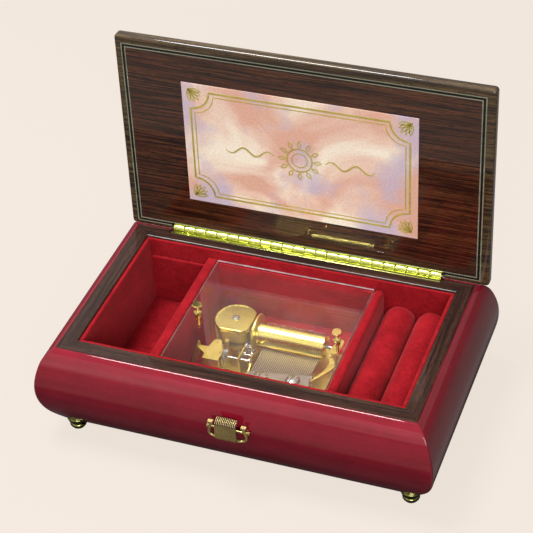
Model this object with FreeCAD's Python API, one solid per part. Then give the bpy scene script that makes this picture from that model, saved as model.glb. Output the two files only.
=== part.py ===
import FreeCAD, Part
import math
import os

from FreeCAD import Vector as V

# Jewellery music box: a bombe lacquered case on turned feet, a hinged lid, velvet compartments,
# and a thirty-note comb movement under a lift-off clear cover.
# X runs to the right, Y to the back, Z up. Places below are measured from the middle of the case,
# on the table; the last loop then moves every piece so that the origin lies under the middle of
# the whole open box. All sizes are in millimetres.

# Case
case_width = 200.0          # outside of the flat top rim, left to right
case_depth = 113.7          # outside of the flat top rim, front to back
case_height = 49.5          # underside of the walls to the top of the rim
foot_height = 9.0
wall_thickness = 9.5        # at the rim, from its outer edge to the lining
bulge = 10.6                # how far the widest line stands outside the rim
bulge_drop = 26.0           # how far the widest line lies below the rim
shoulder_out = 7.9
shoulder_drop = 10.6
brow_out = 3.8
brow_drop = 2.9
belly_out = 7.7
belly_drop = 39.3
base_out = 1.1
rim_thickness = 2.0         # walnut strip let into the top of the walls
rim_lip = 0.7               # lacquered edge left standing outside the strip
rebate_width = 3.0
base_thickness = 5.0
fit = 0.1                   # sliding or glued fit between rigid pieces
soft_gap = 0.3              # between soft pieces on one body
open_box_middle = -2.0      # Y of the middle of the open box's outline
base_screw_head_r = 2.6
base_screw_r = 1.2
base_screw_length = 4.4
base_screw_in_x = 6.0       # from the wall's inner face
base_screw_in_y = 4.0
bolt_head_r = 2.8           # bolts from below into the movement's bosses
bolt_head_h = 1.5
bolt_r = 1.4
bolt_length = 8.0
bolt_recess = 0.4

# Feet
foot_in_x = 5.0             # axis inside the rim's edge
foot_in_y = 4.3
foot_ring_r = 5.8
foot_neck_r = 3.4
foot_bead_r = 4.6
foot_ring_h = 3.6
foot_pad_r = 3.2
foot_stud_r = 1.5
foot_stud_length = 9.0

# Lining, dividers and ring rolls
lining = 2.2
back_lining_thickness = 1.5
lining_below_rim = 0.9
floor_thickness = 1.0
ledge_top_drop = 11.9       # pad on the back wall of the left bay
ledge_depth = 1.8
left_divider_x = -50.0
right_divider_x = 48.35
divider_thickness = 5.6
divider_drop = 6.3          # top of the dividers below the rim
roll_gap = 0.4
roll_crown_drop = 14.6
roll_foot_width = 11.0
roll_end_round = 1.6        # rounding at the ends of a roll
cleat_depth = 1.8
cleat_height = 5.0

# Lid
lid_overhang_side = 5.3
lid_overhang_front = 6.6
lid_overhang_back = 1.1
lid_thickness = 6.5
lid_corner_r = 3.0
lid_edge_r = 2.2
lid_open_angle = 92.0       # as stored; closed is this far back
inlay_width = 2.56
inlay_depth = 0.5
inlay_inset_side = 4.6
inlay_inset_back = 2.1
inlay_inset_front = 4.6
card_width = 132.8
card_height = 76.4
card_thickness = 0.5
card_centre_x = -0.4
card_from_hinge = 21.9

# Piano hinge
hinge_behind_rim = 1.25     # hinge line behind the rim's back edge
hinge_above_rim = 0.4
barrel_r = 2.0
pin_r = 0.8
pin_play = 0.05
leaf_thickness = 0.7
leaf_reach = 5.0            # from the hinge line to a leaf's edge
knuckle_count = 24
knuckle_pitch = 6.6
knuckle_gap = 0.25
hinge_centre_x = 1.0
mortise_end_gap = 1.5
nail_head_r = 0.9
nail_head_height = 0.35
nail_r = 0.5
nail_length = 4.0
nail_pitch = 46.5
nail_count = 4

# Clear cover
cover_thickness = 2.0
cover_top_drop = 7.0
cover_play = 0.3
knob_x = 39.9               # each side of the cover's middle
knob_y = -0.95
knob_head_r = 2.8
knob_head_h = 1.6
knob_neck_r = 1.0
knob_flange_r = 2.1
knob_height = 6.5
knob_screw_r = 0.9
knob_screw_length = 7.0

# Movement: bedplate and cylinder
bed_thickness = 2.0
bed_left = -37.0
bed_right = 39.5
bed_front = -27.0
bed_back = 24.5
boss_height = 1.2
cylinder_r = 7.0
cylinder_wall = 0.8
plug_thickness = 2.0
plug_recess = 1.0           # of the plug in the cylinder's open right end
cylinder_left = -10.8
cylinder_right = 27.9
cylinder_y = 12.1
cylinder_z = 32.2
arbor_r = 1.0
pin_height = 0.35
pin_radius = 0.16
pin_rows = 3
bearing_play = 0.06
bearing_sheet = 0.8
arch_r = 11.2               # left bearing plate above the cylinder's axis
arch_below = 6.5            # how far the arch runs on below the axis
bracket_top_z = 36.7        # tongue of the right bearing
tongue_r = 2.5
tongue_reach = 7.6          # in front of the cylinder's axis

# Comb
tooth_count = 30
tooth_pitch = 1.087
tooth_width = 0.66
comb_centre_x = 10.05
tooth_tip_y = 5.25
bass_root_y = -15.1         # the longest tooth's root, at the left
treble_root_y = -9.3
comb_front_y = -24.0
comb_top_z = 29.0
tooth_thickness = 0.8
comb_thickness = 1.8
comb_margin = 1.2
comb_screw_head_r = 4.1
comb_screw_r = 1.8
comb_screw_length = 7.0
comb_screw_1 = (0.8, -18.2)
comb_screw_2 = (18.3, -16.0)

# Gears: tooth counts and modules
gear_teeth = 40
first_pinion_teeth = 10
gear_module = 0.36
wheel_teeth = 24
pinion_teeth = 10
wheel_module = 0.3
worm_wheel_teeth = 16
worm_wheel_module = 0.42
worm_r = 1.1
crown_teeth = 34
drive_teeth = 14
crown_module = 0.55
crown_rim = 0.3             # crown wheel outside its mean circle
crown_face = 1.25           # radial width of its teeth
wheel_bore_r = 2.5          # clear of the winding arbor
wheel_web = 2.2
backlash = 0.16             # share of the pitch left free in each mesh
shaft_r = 0.6

# Spring housing
drum_x = -23.9
drum_r = 10.6
drum_flat_x = -15.9
drum_bottom_z = 30.2
d_cover_r = 12.0
d_cover_flat_x = -14.2
d_cover_front_y = 1.7
d_cover_top_z = 40.5
d_cover_skirt = 2.8
d_cover_corner_r = 2.4
d_cover_sheet = 0.8
d_cover_bumps = 21

# Governor
second_arbor_y = -6.0
second_arbor_z = 27.5
plate_a_x = -16.5
plate_b_x = -8.8
plate_thickness = 0.8
worm_wheel_x = -25.6
worm_wheel_face = 1.4
worm_length = 5.2
spindle_r = 0.5
bridge_top_z = 34.5
bridge_sheet = 0.8
bridge_left = -33.0
bridge_right = -23.9
bridge_front = -17.8
bridge_back = -1.1
bridge_nose_x = -29.4       # middle of its rounded back end
bridge_fold = 6.4
bridge_leg = 2.5
rivet_place = (-29.2, -3.4)
blade_y = -9.0
blade_tip = (-38.1, 37.7)   # (x, z)
blade_foot = (-43.9, 21.2)
blade_foot_width = 2.6
arm_root_width = 5.6        # of the arm from the bridge to the blade
fan_r = 5.3
fan_height = 4.0
fan_bottom_z = 19.4
fan_hub_r = 1.3
fan_sheet = 0.5

# Stop lever beside the cylinder's right end
stop_lever_z = 32.9
lever_sheet = 0.9
lever_post_r = 0.9
lever_elbow = (37.9, -3.6)
lever_post = (33.6, 3.4)
lever_tip_x = 29.2
lever_tip_y = -17.6

# Front play switch
switch_x = 1.9
switch_drop = 20.4          # its stem below the rim
grip_width = 11.6
grip_above = 7.7            # top of the grip over the stem
grip_below = 4.2
grip_out = 5.5              # front of the grip from the wall
grip_sheet = 1.0
grip_rib_count = 12
grip_rib = 0.25
stem_half = 1.2
slot_play = 0.4
wire_r = 0.75
wire_out = 2.3              # the bent wires' middle from the wall
crossbar_out = 1.2
crossbar_r = 0.6
crossbar_reach = 11.8
tab_width = 2.7
tab_depth = 2.0
tab_thickness = 1.4
stop_bar_gap = 0.6          # behind the front lining
switch_travel = 5.0

# Winding key
key_wing_width = 17.0
key_wing_height = 5.6
key_wing_thickness = 1.6
key_shaft_r = 1.6
key_clear = 1.2             # above the table

half_w = case_width / 2
half_d = case_depth / 2
rim_top = foot_height + case_height
case_bottom = foot_height
base_top = case_bottom + base_thickness
floor_top = base_top + floor_thickness
inner_x = half_w - wall_thickness
inner_y = half_d - wall_thickness
lining_top = rim_top - lining_below_rim
bay_left = -inner_x + lining
bay_right = inner_x - lining
bay_front = -inner_y + lining
bay_back = inner_y - back_lining_thickness
divider_top = rim_top - divider_drop
cover_top = rim_top - cover_top_drop
cover_bottom = cover_top - cover_thickness
hinge_y = half_d + hinge_behind_rim
hinge_z = rim_top + hinge_above_rim
hinge_length = knuckle_count * knuckle_pitch
hinge_left = hinge_centre_x - hinge_length / 2
hinge_right = hinge_centre_x + hinge_length / 2
bed_bottom = floor_top
bed_top = bed_bottom + bed_thickness
cover_left = left_divider_x + divider_thickness / 2 + cover_play
cover_right = right_divider_x - divider_thickness / 2 - cover_play
cover_mid_x = (cover_left + cover_right) / 2

os.makedirs("parts", exist_ok=True)
nodes = {}


def keep(name, shape):
    nodes[name] = shape


def box(x0, x1, y0, y1, z0, z1):
    return Part.makeBox(x1 - x0, y1 - y0, z1 - z0, V(x0, y0, z0))


def rod(r, start, axis, length):
    return Part.makeCylinder(r, length, V(*start), V(*axis))


def face_of(points):
    return Part.Face(Part.makePolygon([V(*p) for p in points] + [V(*points[0])]))


def plate_x(points, x, thickness):
    """A flat plate square to X, from its outline in (y, z)."""
    return face_of([(x, y, z) for y, z in points]).extrude(V(thickness, 0, 0))


def plate_z(points, z, thickness):
    """A flat plate square to Z, from its outline in (x, y)."""
    return face_of([(x, y, z) for x, y in points]).extrude(V(0, 0, thickness))


def turned(profile, x, y, z):
    """A turning about a vertical axis, from (radius, height) points."""
    face = face_of([(r, 0, h) for r, h in profile])
    solid = face.revolve(V(0, 0, 0), V(0, 0, 1), 360)
    solid.translate(V(x, y, z))
    return solid


def rounded(shape, radius, wanted):
    """Fillets the edges that wanted() picks."""
    edges = [e for e in shape.Edges if wanted(e)]
    return shape.makeFillet(radius, edges) if edges else shape


def bulge_outline():
    """The outside of a wall as (out, drop) points, from the rim down to the base."""
    return [
        (0, 0),
        (brow_out, brow_drop),
        (shoulder_out, shoulder_drop),
        (bulge, bulge_drop),
        (belly_out, belly_drop),
        (base_out, case_height),
    ]


def wall(length, half_span, thickness):
    """A straight wall along X, its outside towards -Y, mitred at both ends."""
    outer = [V(0, -half_span - u, rim_top - h) for u, h in bulge_outline()]
    curve = Part.BSplineCurve()
    curve.interpolate(outer)
    inside = -half_span + thickness
    rebate_y = inside - rebate_width
    rest = [
        outer[-1],
        V(0, rebate_y, case_bottom),
        V(0, rebate_y, base_top),
        V(0, inside, base_top),
        V(0, inside, rim_top - rim_thickness),
        V(0, -half_span + rim_lip, rim_top - rim_thickness),
        V(0, -half_span + rim_lip, rim_top),
        outer[0],
    ]
    wire = Part.Wire([curve.toShape()] + Part.makePolygon(rest).Edges)
    reach = length / 2 + bulge + 1
    solid = Part.Face(wire).extrude(V(2 * reach, 0, 0))
    solid.translate(V(-reach, 0, 0))
    return solid.common(mitre(length / 2, half_span, rim_top + 1))


def mitre(half_length, half_span, top):
    """The wedge of the plan that belongs to one side, as a prism."""
    out = bulge + 2
    back = half_span
    return plate_z(
        [
            (-half_length - out, -half_span - out),
            (half_length + out, -half_span - out),
            (half_length - back, -half_span + back),
            (-half_length + back, -half_span + back),
        ],
        0,
        top,
    )


def rim_rail(length, half_span, thickness):
    """A walnut strip let into the top of a wall, with its inner top edge rounded."""
    rail = box(
        -length / 2,
        length / 2,
        -half_span + rim_lip,
        -half_span + thickness,
        rim_top - rim_thickness,
        rim_top,
    )
    rail = rounded(
        rail,
        0.6,
        lambda e: abs(e.CenterOfMass.y + half_span - thickness) < 0.01
        and abs(e.CenterOfMass.z - rim_top) < 0.01,
    )
    return rail.common(mitre(length / 2, half_span, rim_top + 1))


def turn_z(shape, angle):
    """Turns a front piece to face left, back or right."""
    shape.rotate(V(0, 0, 0), V(0, 0, 1), angle)
    return shape


def foot_places():
    x = half_w - foot_in_x
    y = half_d - foot_in_y
    return [(-x, -y), (x, -y), (x, y), (-x, y)]


def make_case():
    walls = {
        "front_wall": wall(case_width, half_d, wall_thickness),
        "back_wall": turn_z(wall(case_width, half_d, wall_thickness), 180),
        "right_wall": turn_z(wall(case_depth, half_w, wall_thickness), 90),
        "left_wall": turn_z(wall(case_depth, half_w, wall_thickness), -90),
    }
    for x, y in foot_places():
        hole = rod(foot_stud_r + fit, (x, y, case_bottom - 1), (0, 0, 1), foot_stud_length + 2)
        for name in walls:
            walls[name] = walls[name].cut(hole)
    mortise = hinge_mortise_case()
    walls["back_wall"] = walls["back_wall"].cut(mortise)
    back_rail = turn_z(rim_rail(case_width, half_d, wall_thickness), 180).cut(mortise)
    slot = switch_slot(-half_d - bulge - 1, -half_d + wall_thickness + 1)
    walls["front_wall"] = walls["front_wall"].cut(slot)
    for name, shape in walls.items():
        keep(name, shape)
    rails = [
        rim_rail(case_width, half_d, wall_thickness),
        back_rail,
        turn_z(rim_rail(case_depth, half_w, wall_thickness), 90),
        turn_z(rim_rail(case_depth, half_w, wall_thickness), -90),
    ]
    keep("rim_rails", Part.makeCompound(rails))


def switch_slot(y0, y1):
    """The slot that the switch's stem slides in."""
    reach = stem_half + slot_play
    z = switch_z()
    return box(switch_x - reach, switch_x + switch_travel + reach, y0, y1, z - reach, z + reach)


def switch_z():
    return rim_top - switch_drop


def make_base():
    x = inner_x + rebate_width - fit
    y = inner_y + rebate_width - fit
    panel = box(-x, x, -y, y, case_bottom, base_top)
    panel = panel.cut(rod(key_shaft_r + 1.4, (drum_x, cylinder_y, 0), (0, 0, 1), base_top + 1))
    screws = []
    cone = base_screw_head_r - base_screw_r
    for sx in (-1, 0, 1):
        for sy in (-1, 1):
            screw = turned(
                [
                    (0, 0),
                    (base_screw_head_r, 0),
                    (base_screw_r, cone),
                    (base_screw_r, base_screw_length),
                    (0, base_screw_length),
                ],
                sx * (inner_x - base_screw_in_x),
                sy * (inner_y - base_screw_in_y),
                case_bottom,
            )
            panel = panel.cut(screw)
            screws.append(screw)
    for x, y in movement_screw_places():
        screws.append(bolt(x, y, 0))
        panel = panel.cut(bolt(x, y, fit)).cut(rod(bolt_head_r + fit, (x, y, case_bottom - 1), (0, 0, 1), 2))
    keep("base_panel", panel)
    keep("base_screws", Part.makeCompound(screws))


def bolt(x, y, more):
    """A bolt from under the base into the movement, or with more, its bore."""
    return turned(
        [
            (0, 0),
            (bolt_head_r + more, 0),
            (bolt_head_r + more, bolt_head_h),
            (bolt_r + more, bolt_head_h),
            (bolt_r + more, bolt_length + more),
            (0, bolt_length + more),
        ],
        x,
        y,
        case_bottom + bolt_recess,
    )


def movement_screw_places():
    return [
        (bed_left + 6, bed_front + 6),
        (bed_right - 6, bed_front + 6),
        (bed_right - 6, bed_back - 3.8),
    ]


def make_feet():
    ring = foot_ring_h
    profile = [
        (0, 0),
        (foot_pad_r, 0),
        (foot_pad_r + 0.9, 0.6),
        (foot_bead_r, 1.9),
        (foot_bead_r - 0.2, 3.1),
        (foot_neck_r + 0.3, 4.2),
        (foot_neck_r, foot_height - ring - 0.5),
        (foot_ring_r - 0.7, foot_height - ring),
        (foot_ring_r, foot_height - ring + 0.7),
        (foot_ring_r, foot_height - 0.7),
        (foot_ring_r - 0.6, foot_height),
        (foot_stud_r, foot_height),
        (foot_stud_r, foot_height + foot_stud_length),
        (0, foot_height + foot_stud_length),
    ]
    keep("feet", Part.makeCompound([turned(profile, x, y, 0) for x, y in foot_places()]))


def make_lining():
    z0 = floor_top
    z1 = lining_top
    front = box(-inner_x, inner_x, -inner_y, bay_front, z0, z1)
    back = box(-inner_x, inner_x, bay_back, inner_y, z0, z1)
    left = box(-inner_x, bay_left, bay_front, bay_back, z0, z1)
    right = box(bay_right, inner_x, bay_front, bay_back, z0, z1)
    front = front.cut(switch_slot(-inner_y - 1, bay_front + 1))

    def top(e):
        return abs(e.BoundBox.ZMin - z1) < 0.01 and e.Length > 20

    keep("front_lining", rounded(front, 0.5, top))
    keep("back_lining", rounded(back, 0.5, top))
    keep("side_linings", Part.makeCompound([rounded(left, 0.5, top), rounded(right, 0.5, top)]))
    floor = box(-inner_x, inner_x, -inner_y, inner_y, base_top, floor_top)
    floor = floor.cut(rod(key_shaft_r + 1.4, (drum_x, cylinder_y, 0), (0, 0, 1), floor_top + 1))
    for x, y in movement_screw_places():
        floor = floor.cut(rod(bolt_r + fit, (x, y, 0), (0, 0, 1), floor_top + 1))
    keep("floor_lining", floor)
    for name, x, edge in (("left_divider", left_divider_x, 0.9), ("right_divider", right_divider_x, 2.5)):
        slab = box(
            x - divider_thickness / 2,
            x + divider_thickness / 2,
            bay_front,
            bay_back,
            z0,
            divider_top,
        )
        slab = rounded(slab, edge, lambda e: abs(e.BoundBox.ZMin - divider_top) < 0.01 and e.Length > 20)
        keep(name, slab)
    ledge_top = rim_top - ledge_top_drop
    ledge = box(
        bay_left,
        left_divider_x - divider_thickness / 2,
        bay_back - ledge_depth,
        bay_back,
        z0,
        ledge_top,
    )
    ledge = rounded(
        ledge,
        0.8,
        lambda e: math.dist(e.CenterOfMass[1:], (bay_back - ledge_depth, ledge_top)) < 0.01,
    )
    keep("ledge_pad", ledge)
    x0 = left_divider_x + divider_thickness / 2
    x1 = right_divider_x - divider_thickness / 2
    cleats = [
        box(x0, x1, bay_front, bay_front + cleat_depth, cover_bottom - cleat_height, cover_bottom),
        box(x0, x1, bay_back - cleat_depth, bay_back, cover_bottom - cleat_height, cover_bottom),
    ]
    keep("cover_cleats", Part.makeCompound(cleats))


def roll_section(centre, width, y, inset):
    """A ring roll's outline: a round crown, sides drawn in towards a narrower foot."""
    r = width / 2 - inset
    crown = rim_top - roll_crown_drop - inset
    spring_line = crown - r
    foot = roll_foot_width / 2 - inset
    top = Part.Arc(V(centre - r, y, spring_line), V(centre, y, crown), V(centre + r, y, spring_line))
    top = top.toShape()
    waist_z = (spring_line + floor_top) / 2
    right = Part.Arc(
        V(centre + r, y, spring_line),
        V(centre + (r + foot) / 2 + 0.9, y, waist_z),
        V(centre + foot, y, floor_top),
    ).toShape()
    base = Part.LineSegment(V(centre + foot, y, floor_top), V(centre - foot, y, floor_top)).toShape()
    left = Part.Arc(
        V(centre - foot, y, floor_top),
        V(centre - (r + foot) / 2 - 0.9, y, waist_z),
        V(centre - r, y, spring_line),
    ).toShape()
    return Part.Wire([top, right, base, left])


def make_ring_rolls():
    x0 = right_divider_x + divider_thickness / 2 + roll_gap
    x1 = bay_right - roll_gap
    width = (x1 - x0 - roll_gap) / 2
    y0 = bay_front + soft_gap
    y1 = bay_back - soft_gap
    for name, centre in (("ring_roll_left", x0 + width / 2), ("ring_roll_right", x1 - width / 2)):
        ends = [(0, 0.7), (0.3, 0.25), (1, 0)]
        from_front = [(y0 + roll_end_round * along, roll_end_round * inset) for along, inset in ends]
        from_back = [(y1 - roll_end_round * along, roll_end_round * inset) for along, inset in ends]
        sections = [roll_section(centre, width, y, inset) for y, inset in from_front + from_back[::-1]]
        keep(name, Part.makeLoft(sections, True, True))


def hinge_mortise_case():
    """The shallow seat for the case leaf and the scoop for the barrel, in the back wall."""
    x0 = hinge_left - mortise_end_gap
    x1 = hinge_right + mortise_end_gap
    leaf = box(x0, x1, hinge_y - leaf_reach, half_d + 4, rim_top - leaf_thickness, rim_top + 1)
    scoop = rod(barrel_r + 0.25, (x0, hinge_y, hinge_z), (1, 0, 0), x1 - x0)
    return leaf.fuse(scoop)


def hinge_leaf(first, in_lid):
    """A leaf with every second knuckle, in the closed position of the lid."""
    side_of = 1 if in_lid else -1
    z_face = hinge_z + side_of * hinge_above_rim
    z0 = z_face if in_lid else z_face - leaf_thickness
    strip = box(hinge_left, hinge_right, hinge_y - leaf_reach, hinge_y, z0, z0 + leaf_thickness)
    bore = rod(pin_r + pin_play, (hinge_left - 1, hinge_y, hinge_z), (1, 0, 0), hinge_length + 2)
    barrel = rod(barrel_r, (hinge_left, hinge_y, hinge_z), (1, 0, 0), hinge_length)
    leaf = strip.fuse(barrel)
    for i in range(knuckle_count):
        if i % 2 == first:
            continue
        x = hinge_left + i * knuckle_pitch
        start = (x - knuckle_gap / 2, hinge_y, hinge_z)
        gap = rod(barrel_r + 0.35, start, (1, 0, 0), knuckle_pitch + knuckle_gap)
        leaf = leaf.cut(gap)
    return leaf.cut(bore)


def nail_places():
    start = hinge_centre_x - nail_pitch * (nail_count - 1) / 2
    return [start + i * nail_pitch for i in range(nail_count)]


def nail(x, y, face_z, up):
    """A small round-headed nail whose head seats on a leaf's face; up is 1 or -1."""
    body = turned(
        [
            (0, nail_head_height),
            (nail_head_r * 0.7, nail_head_height * 0.8),
            (nail_head_r, 0),
            (nail_r, 0),
            (nail_r, -nail_length),
            (0, -nail_length - 0.5),
        ],
        0,
        0,
        0,
    )
    if up < 0:
        body.rotate(V(0, 0, 0), V(1, 0, 0), 180)
    body.translate(V(x, y, face_z))
    return body


def open_lid(shape):
    """Turns a piece from the closed place to the stored, open place."""
    shape.rotate(V(0, hinge_y, hinge_z), V(1, 0, 0), -lid_open_angle)
    return shape


def lid_outline(inset_side, inset_front, inset_back, z, thickness, r):
    x = half_w + lid_overhang_side - inset_side
    y0 = -half_d - lid_overhang_front + inset_front
    y1 = half_d + lid_overhang_back - inset_back
    slab = box(-x, x, y0, y1, z, z + thickness)
    if r > 0:
        slab = rounded(slab, r, lambda e: e.BoundBox.ZLength > thickness - 0.01)
    return slab


def make_lid():
    face = hinge_z + hinge_above_rim
    panel = lid_outline(0, 0, 0, face, lid_thickness, lid_corner_r)
    panel = rounded(
        panel,
        lid_edge_r,
        lambda e: e.BoundBox.ZLength < 0.01 and abs(e.BoundBox.ZMin - face - lid_thickness) < 0.01,
    )
    panel = rounded(
        panel,
        lid_edge_r * 0.6,
        lambda e: e.BoundBox.ZLength < 0.01 and abs(e.BoundBox.ZMin - face) < 0.01,
    )
    ring = lid_outline(inlay_inset_side, inlay_inset_front, inlay_inset_back, face, inlay_depth, 0)
    field = lid_outline(
        inlay_inset_side + inlay_width,
        inlay_inset_front + inlay_width,
        inlay_inset_back + inlay_width,
        face,
        inlay_depth,
        0,
    )
    mortise = hinge_mortise_lid(face)
    panel = panel.cut(ring).cut(mortise)
    keep("lid_panel", panel)
    keep("lid_inlay", ring.cut(field).cut(mortise))
    keep("lid_veneer", field.cut(mortise))
    card_y1 = hinge_y - card_from_hinge
    card = box(
        card_centre_x - card_width / 2,
        card_centre_x + card_width / 2,
        card_y1 - card_height,
        card_y1,
        face - card_thickness,
        face,
    )
    keep("title_card", card)
    keep("hinge_lid_leaf", hinge_leaf(0, True))
    nails = [nail(x, nail_y(), hinge_z + hinge_above_rim, -1) for x in nail_places()]
    heads = Part.makeCompound(nails)
    for name in ("hinge_lid_leaf", "lid_panel", "lid_inlay", "lid_veneer"):
        nodes[name] = nodes[name].cut(heads)
    keep("lid_nails", heads)
    for name in ("lid_panel", "lid_inlay", "lid_veneer", "title_card", "hinge_lid_leaf", "lid_nails"):
        open_lid(nodes[name])


def nail_y():
    return hinge_y - (leaf_reach + barrel_r) / 2


def hinge_mortise_lid(face):
    x0 = hinge_left - mortise_end_gap
    x1 = hinge_right + mortise_end_gap
    leaf = box(x0, x1, hinge_y - leaf_reach, hinge_y + 4, face - 0.5, face + leaf_thickness)
    scoop = rod(barrel_r + 0.25, (x0, hinge_y, hinge_z), (1, 0, 0), x1 - x0)
    return leaf.fuse(scoop)


def make_hinge():
    leaf = hinge_leaf(1, False)
    nails = Part.makeCompound([nail(x, nail_y(), rim_top, 1) for x in nail_places()])
    keep("hinge_case_leaf", leaf.cut(nails))
    keep("case_nails", nails)
    for name in ("rim_rails", "back_wall"):
        nodes[name] = nodes[name].cut(nails)
    keep("hinge_pin", rod(pin_r, (hinge_left, hinge_y, hinge_z), (1, 0, 0), hinge_length))


def make_cover():
    plate = box(
        cover_left,
        cover_right,
        bay_front + cover_play,
        bay_back - cover_play,
        cover_bottom,
        cover_top,
    )
    knobs = []
    nuts = []
    for sx in (-1, 1):
        x = cover_mid_x + sx * knob_x
        plate = plate.cut(rod(knob_screw_r + fit, (x, knob_y, cover_bottom - 1), (0, 0, 1), 4))
        top = cover_top + knob_height
        profile = [
            (0, cover_bottom - knob_screw_length),
            (knob_screw_r, cover_bottom - knob_screw_length),
            (knob_screw_r, cover_top),
            (knob_flange_r, cover_top),
            (knob_flange_r + 0.2, cover_top + 0.6),
            (knob_flange_r, cover_top + 1.3),
            (knob_neck_r, cover_top + 2.1),
            (knob_neck_r, top - knob_head_h - 1.0),
            (knob_head_r - 0.4, top - knob_head_h),
            (knob_head_r, top - knob_head_h + 0.4),
            (knob_head_r, top - 0.4),
            (knob_head_r - 0.4, top),
            (0, top),
        ]
        knobs.append(turned(profile, x, knob_y, 0))
        nut = rod(1.7, (x, knob_y, cover_bottom - 1.4), (0, 0, 1), 1.4)
        nuts.append(nut.cut(rod(knob_screw_r, (x, knob_y, cover_bottom - 2), (0, 0, 1), 3)))
    keep("acrylic_cover", plate)
    keep("cover_knobs", Part.makeCompound(knobs + nuts))


def gear(teeth, module, x, face, y, z, phase, bore):
    """A spur gear square to X, with straight-flanked teeth and a tooth centred at phase (degrees)."""
    pitch_r = teeth * module / 2
    tip_r = pitch_r + 0.85 * module
    root_r = pitch_r - 1.15 * module
    step = 360 / teeth
    half_tip = 0.12 * step
    half_root = (0.5 - backlash) * step * 0.62
    points = []
    for i in range(teeth):
        a = phase + i * step
        for offset, r in ((-half_root, root_r), (-half_tip, tip_r), (half_tip, tip_r), (half_root, root_r)):
            t = math.radians(a + offset)
            points.append((y + r * math.cos(t), z + r * math.sin(t)))
    blank = plate_x(points, x, face)
    return blank.cut(rod(bore, (x - 1, y, z), (1, 0, 0), face + 2)) if bore else blank


def tip_radius(teeth, module):
    return teeth * module / 2 + 0.85 * module


def mesh_phase(driver_teeth, driver_phase, direction, follower_teeth):
    """The follower's tooth angle that puts a gap of it on a tooth of the driver.

    direction is the angle from the driver's centre to the follower's."""
    step = 360 / driver_teeth
    ahead = (direction - driver_phase) / step
    share = ahead - math.floor(ahead)
    follower_step = 360 / follower_teeth
    return direction + 180 + (share + 0.5) * follower_step


def first_arbor():
    """Centre of the steel pinion's arbor, in front of and below the cylinder."""
    reach = (gear_teeth + first_pinion_teeth) * gear_module / 2
    angle = math.radians(205.6)
    return cylinder_y + reach * math.cos(angle), cylinder_z + reach * math.sin(angle)


def middle_arbor():
    """Centre of the arbor between the first and the second, below the line joining them."""
    y1, z1 = first_arbor()
    reach = (wheel_teeth + pinion_teeth) * wheel_module / 2
    dy = second_arbor_y - y1
    dz = second_arbor_z - z1
    span = math.hypot(dy, dz)
    drop = math.sqrt(max(reach**2 - (span / 2) ** 2, 0))
    return (y1 + second_arbor_y) / 2 - drop * dz / span, (z1 + second_arbor_z) / 2 + drop * dy / span


def direction(a, b):
    return math.degrees(math.atan2(b[1] - a[1], b[0] - a[0]))


def make_cylinder():
    length = cylinder_right - cylinder_left
    tube = rod(cylinder_r, (cylinder_left, cylinder_y, cylinder_z), (1, 0, 0), length)
    inner_r = cylinder_r - cylinder_wall
    inside = rod(inner_r, (cylinder_left - 1, cylinder_y, cylinder_z), (1, 0, 0), length + 2)
    plug_x = (cylinder_left, cylinder_right - plug_thickness - plug_recess)
    plugs = [rod(inner_r, (x, cylinder_y, cylinder_z), (1, 0, 0), plug_thickness) for x in plug_x]
    tube = tube.cut(inside).fuse(plugs).removeSplitter()
    bore = rod(arbor_r, (cylinder_left - 1, cylinder_y, cylinder_z), (1, 0, 0), length + 2)
    keep("cylinder", tube.cut(bore))
    pins = []
    start = comb_centre_x - tooth_pitch * (tooth_count - 1) / 2
    for i in range(tooth_count):
        for k in range(pin_rows):
            angle = math.radians((i * 137.5 + k * 360 / pin_rows + 17 * (i % 4)) % 360)
            if math.cos(angle + math.radians(150)) > 0.97:
                continue
            out = (0, math.cos(angle), math.sin(angle))
            x = start + i * tooth_pitch
            foot = (
                x,
                cylinder_y + cylinder_r * out[1] * 0.985,
                cylinder_z + cylinder_r * out[2] * 0.985,
            )
            pins.append(rod(pin_radius, foot, out, pin_height + 0.015 * cylinder_r))
    keep("cylinder_pins", Part.makeCompound(pins))
    nodes["cylinder"] = nodes["cylinder"].cut(nodes["cylinder_pins"])
    drive_left = drum_x + crown_mean_r() + crown_rim - crown_face + fit
    end = bracket_x() + 2 * bearing_sheet
    keep("cylinder_arbor", rod(arbor_r, (drive_left, cylinder_y, cylinder_z), (1, 0, 0), end - drive_left))
    wheel = gear(gear_teeth, gear_module, cylinder_gear_x(), 1.2, cylinder_y, cylinder_z, 0, arbor_r)
    keep("cylinder_gear", wheel)
    pinion = gear(drive_teeth, crown_module, drive_left, 1.2, cylinder_y, cylinder_z, drive_phase(), arbor_r)
    keep("drive_pinion", pinion)


def drive_phase():
    """Puts a gap of the drive pinion straight down, over a tooth of the great wheel."""
    return -90 + 180 / drive_teeth


def crown_mean_r():
    return crown_teeth * crown_module / 2


def cylinder_gear_x():
    """The gear's left face, with the arched bearing plate between it and the cylinder."""
    return cylinder_left - 2.6


def arch_x():
    return cylinder_left - 0.2 - bearing_sheet


def bracket_x():
    return cylinder_right + 5.7


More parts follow.
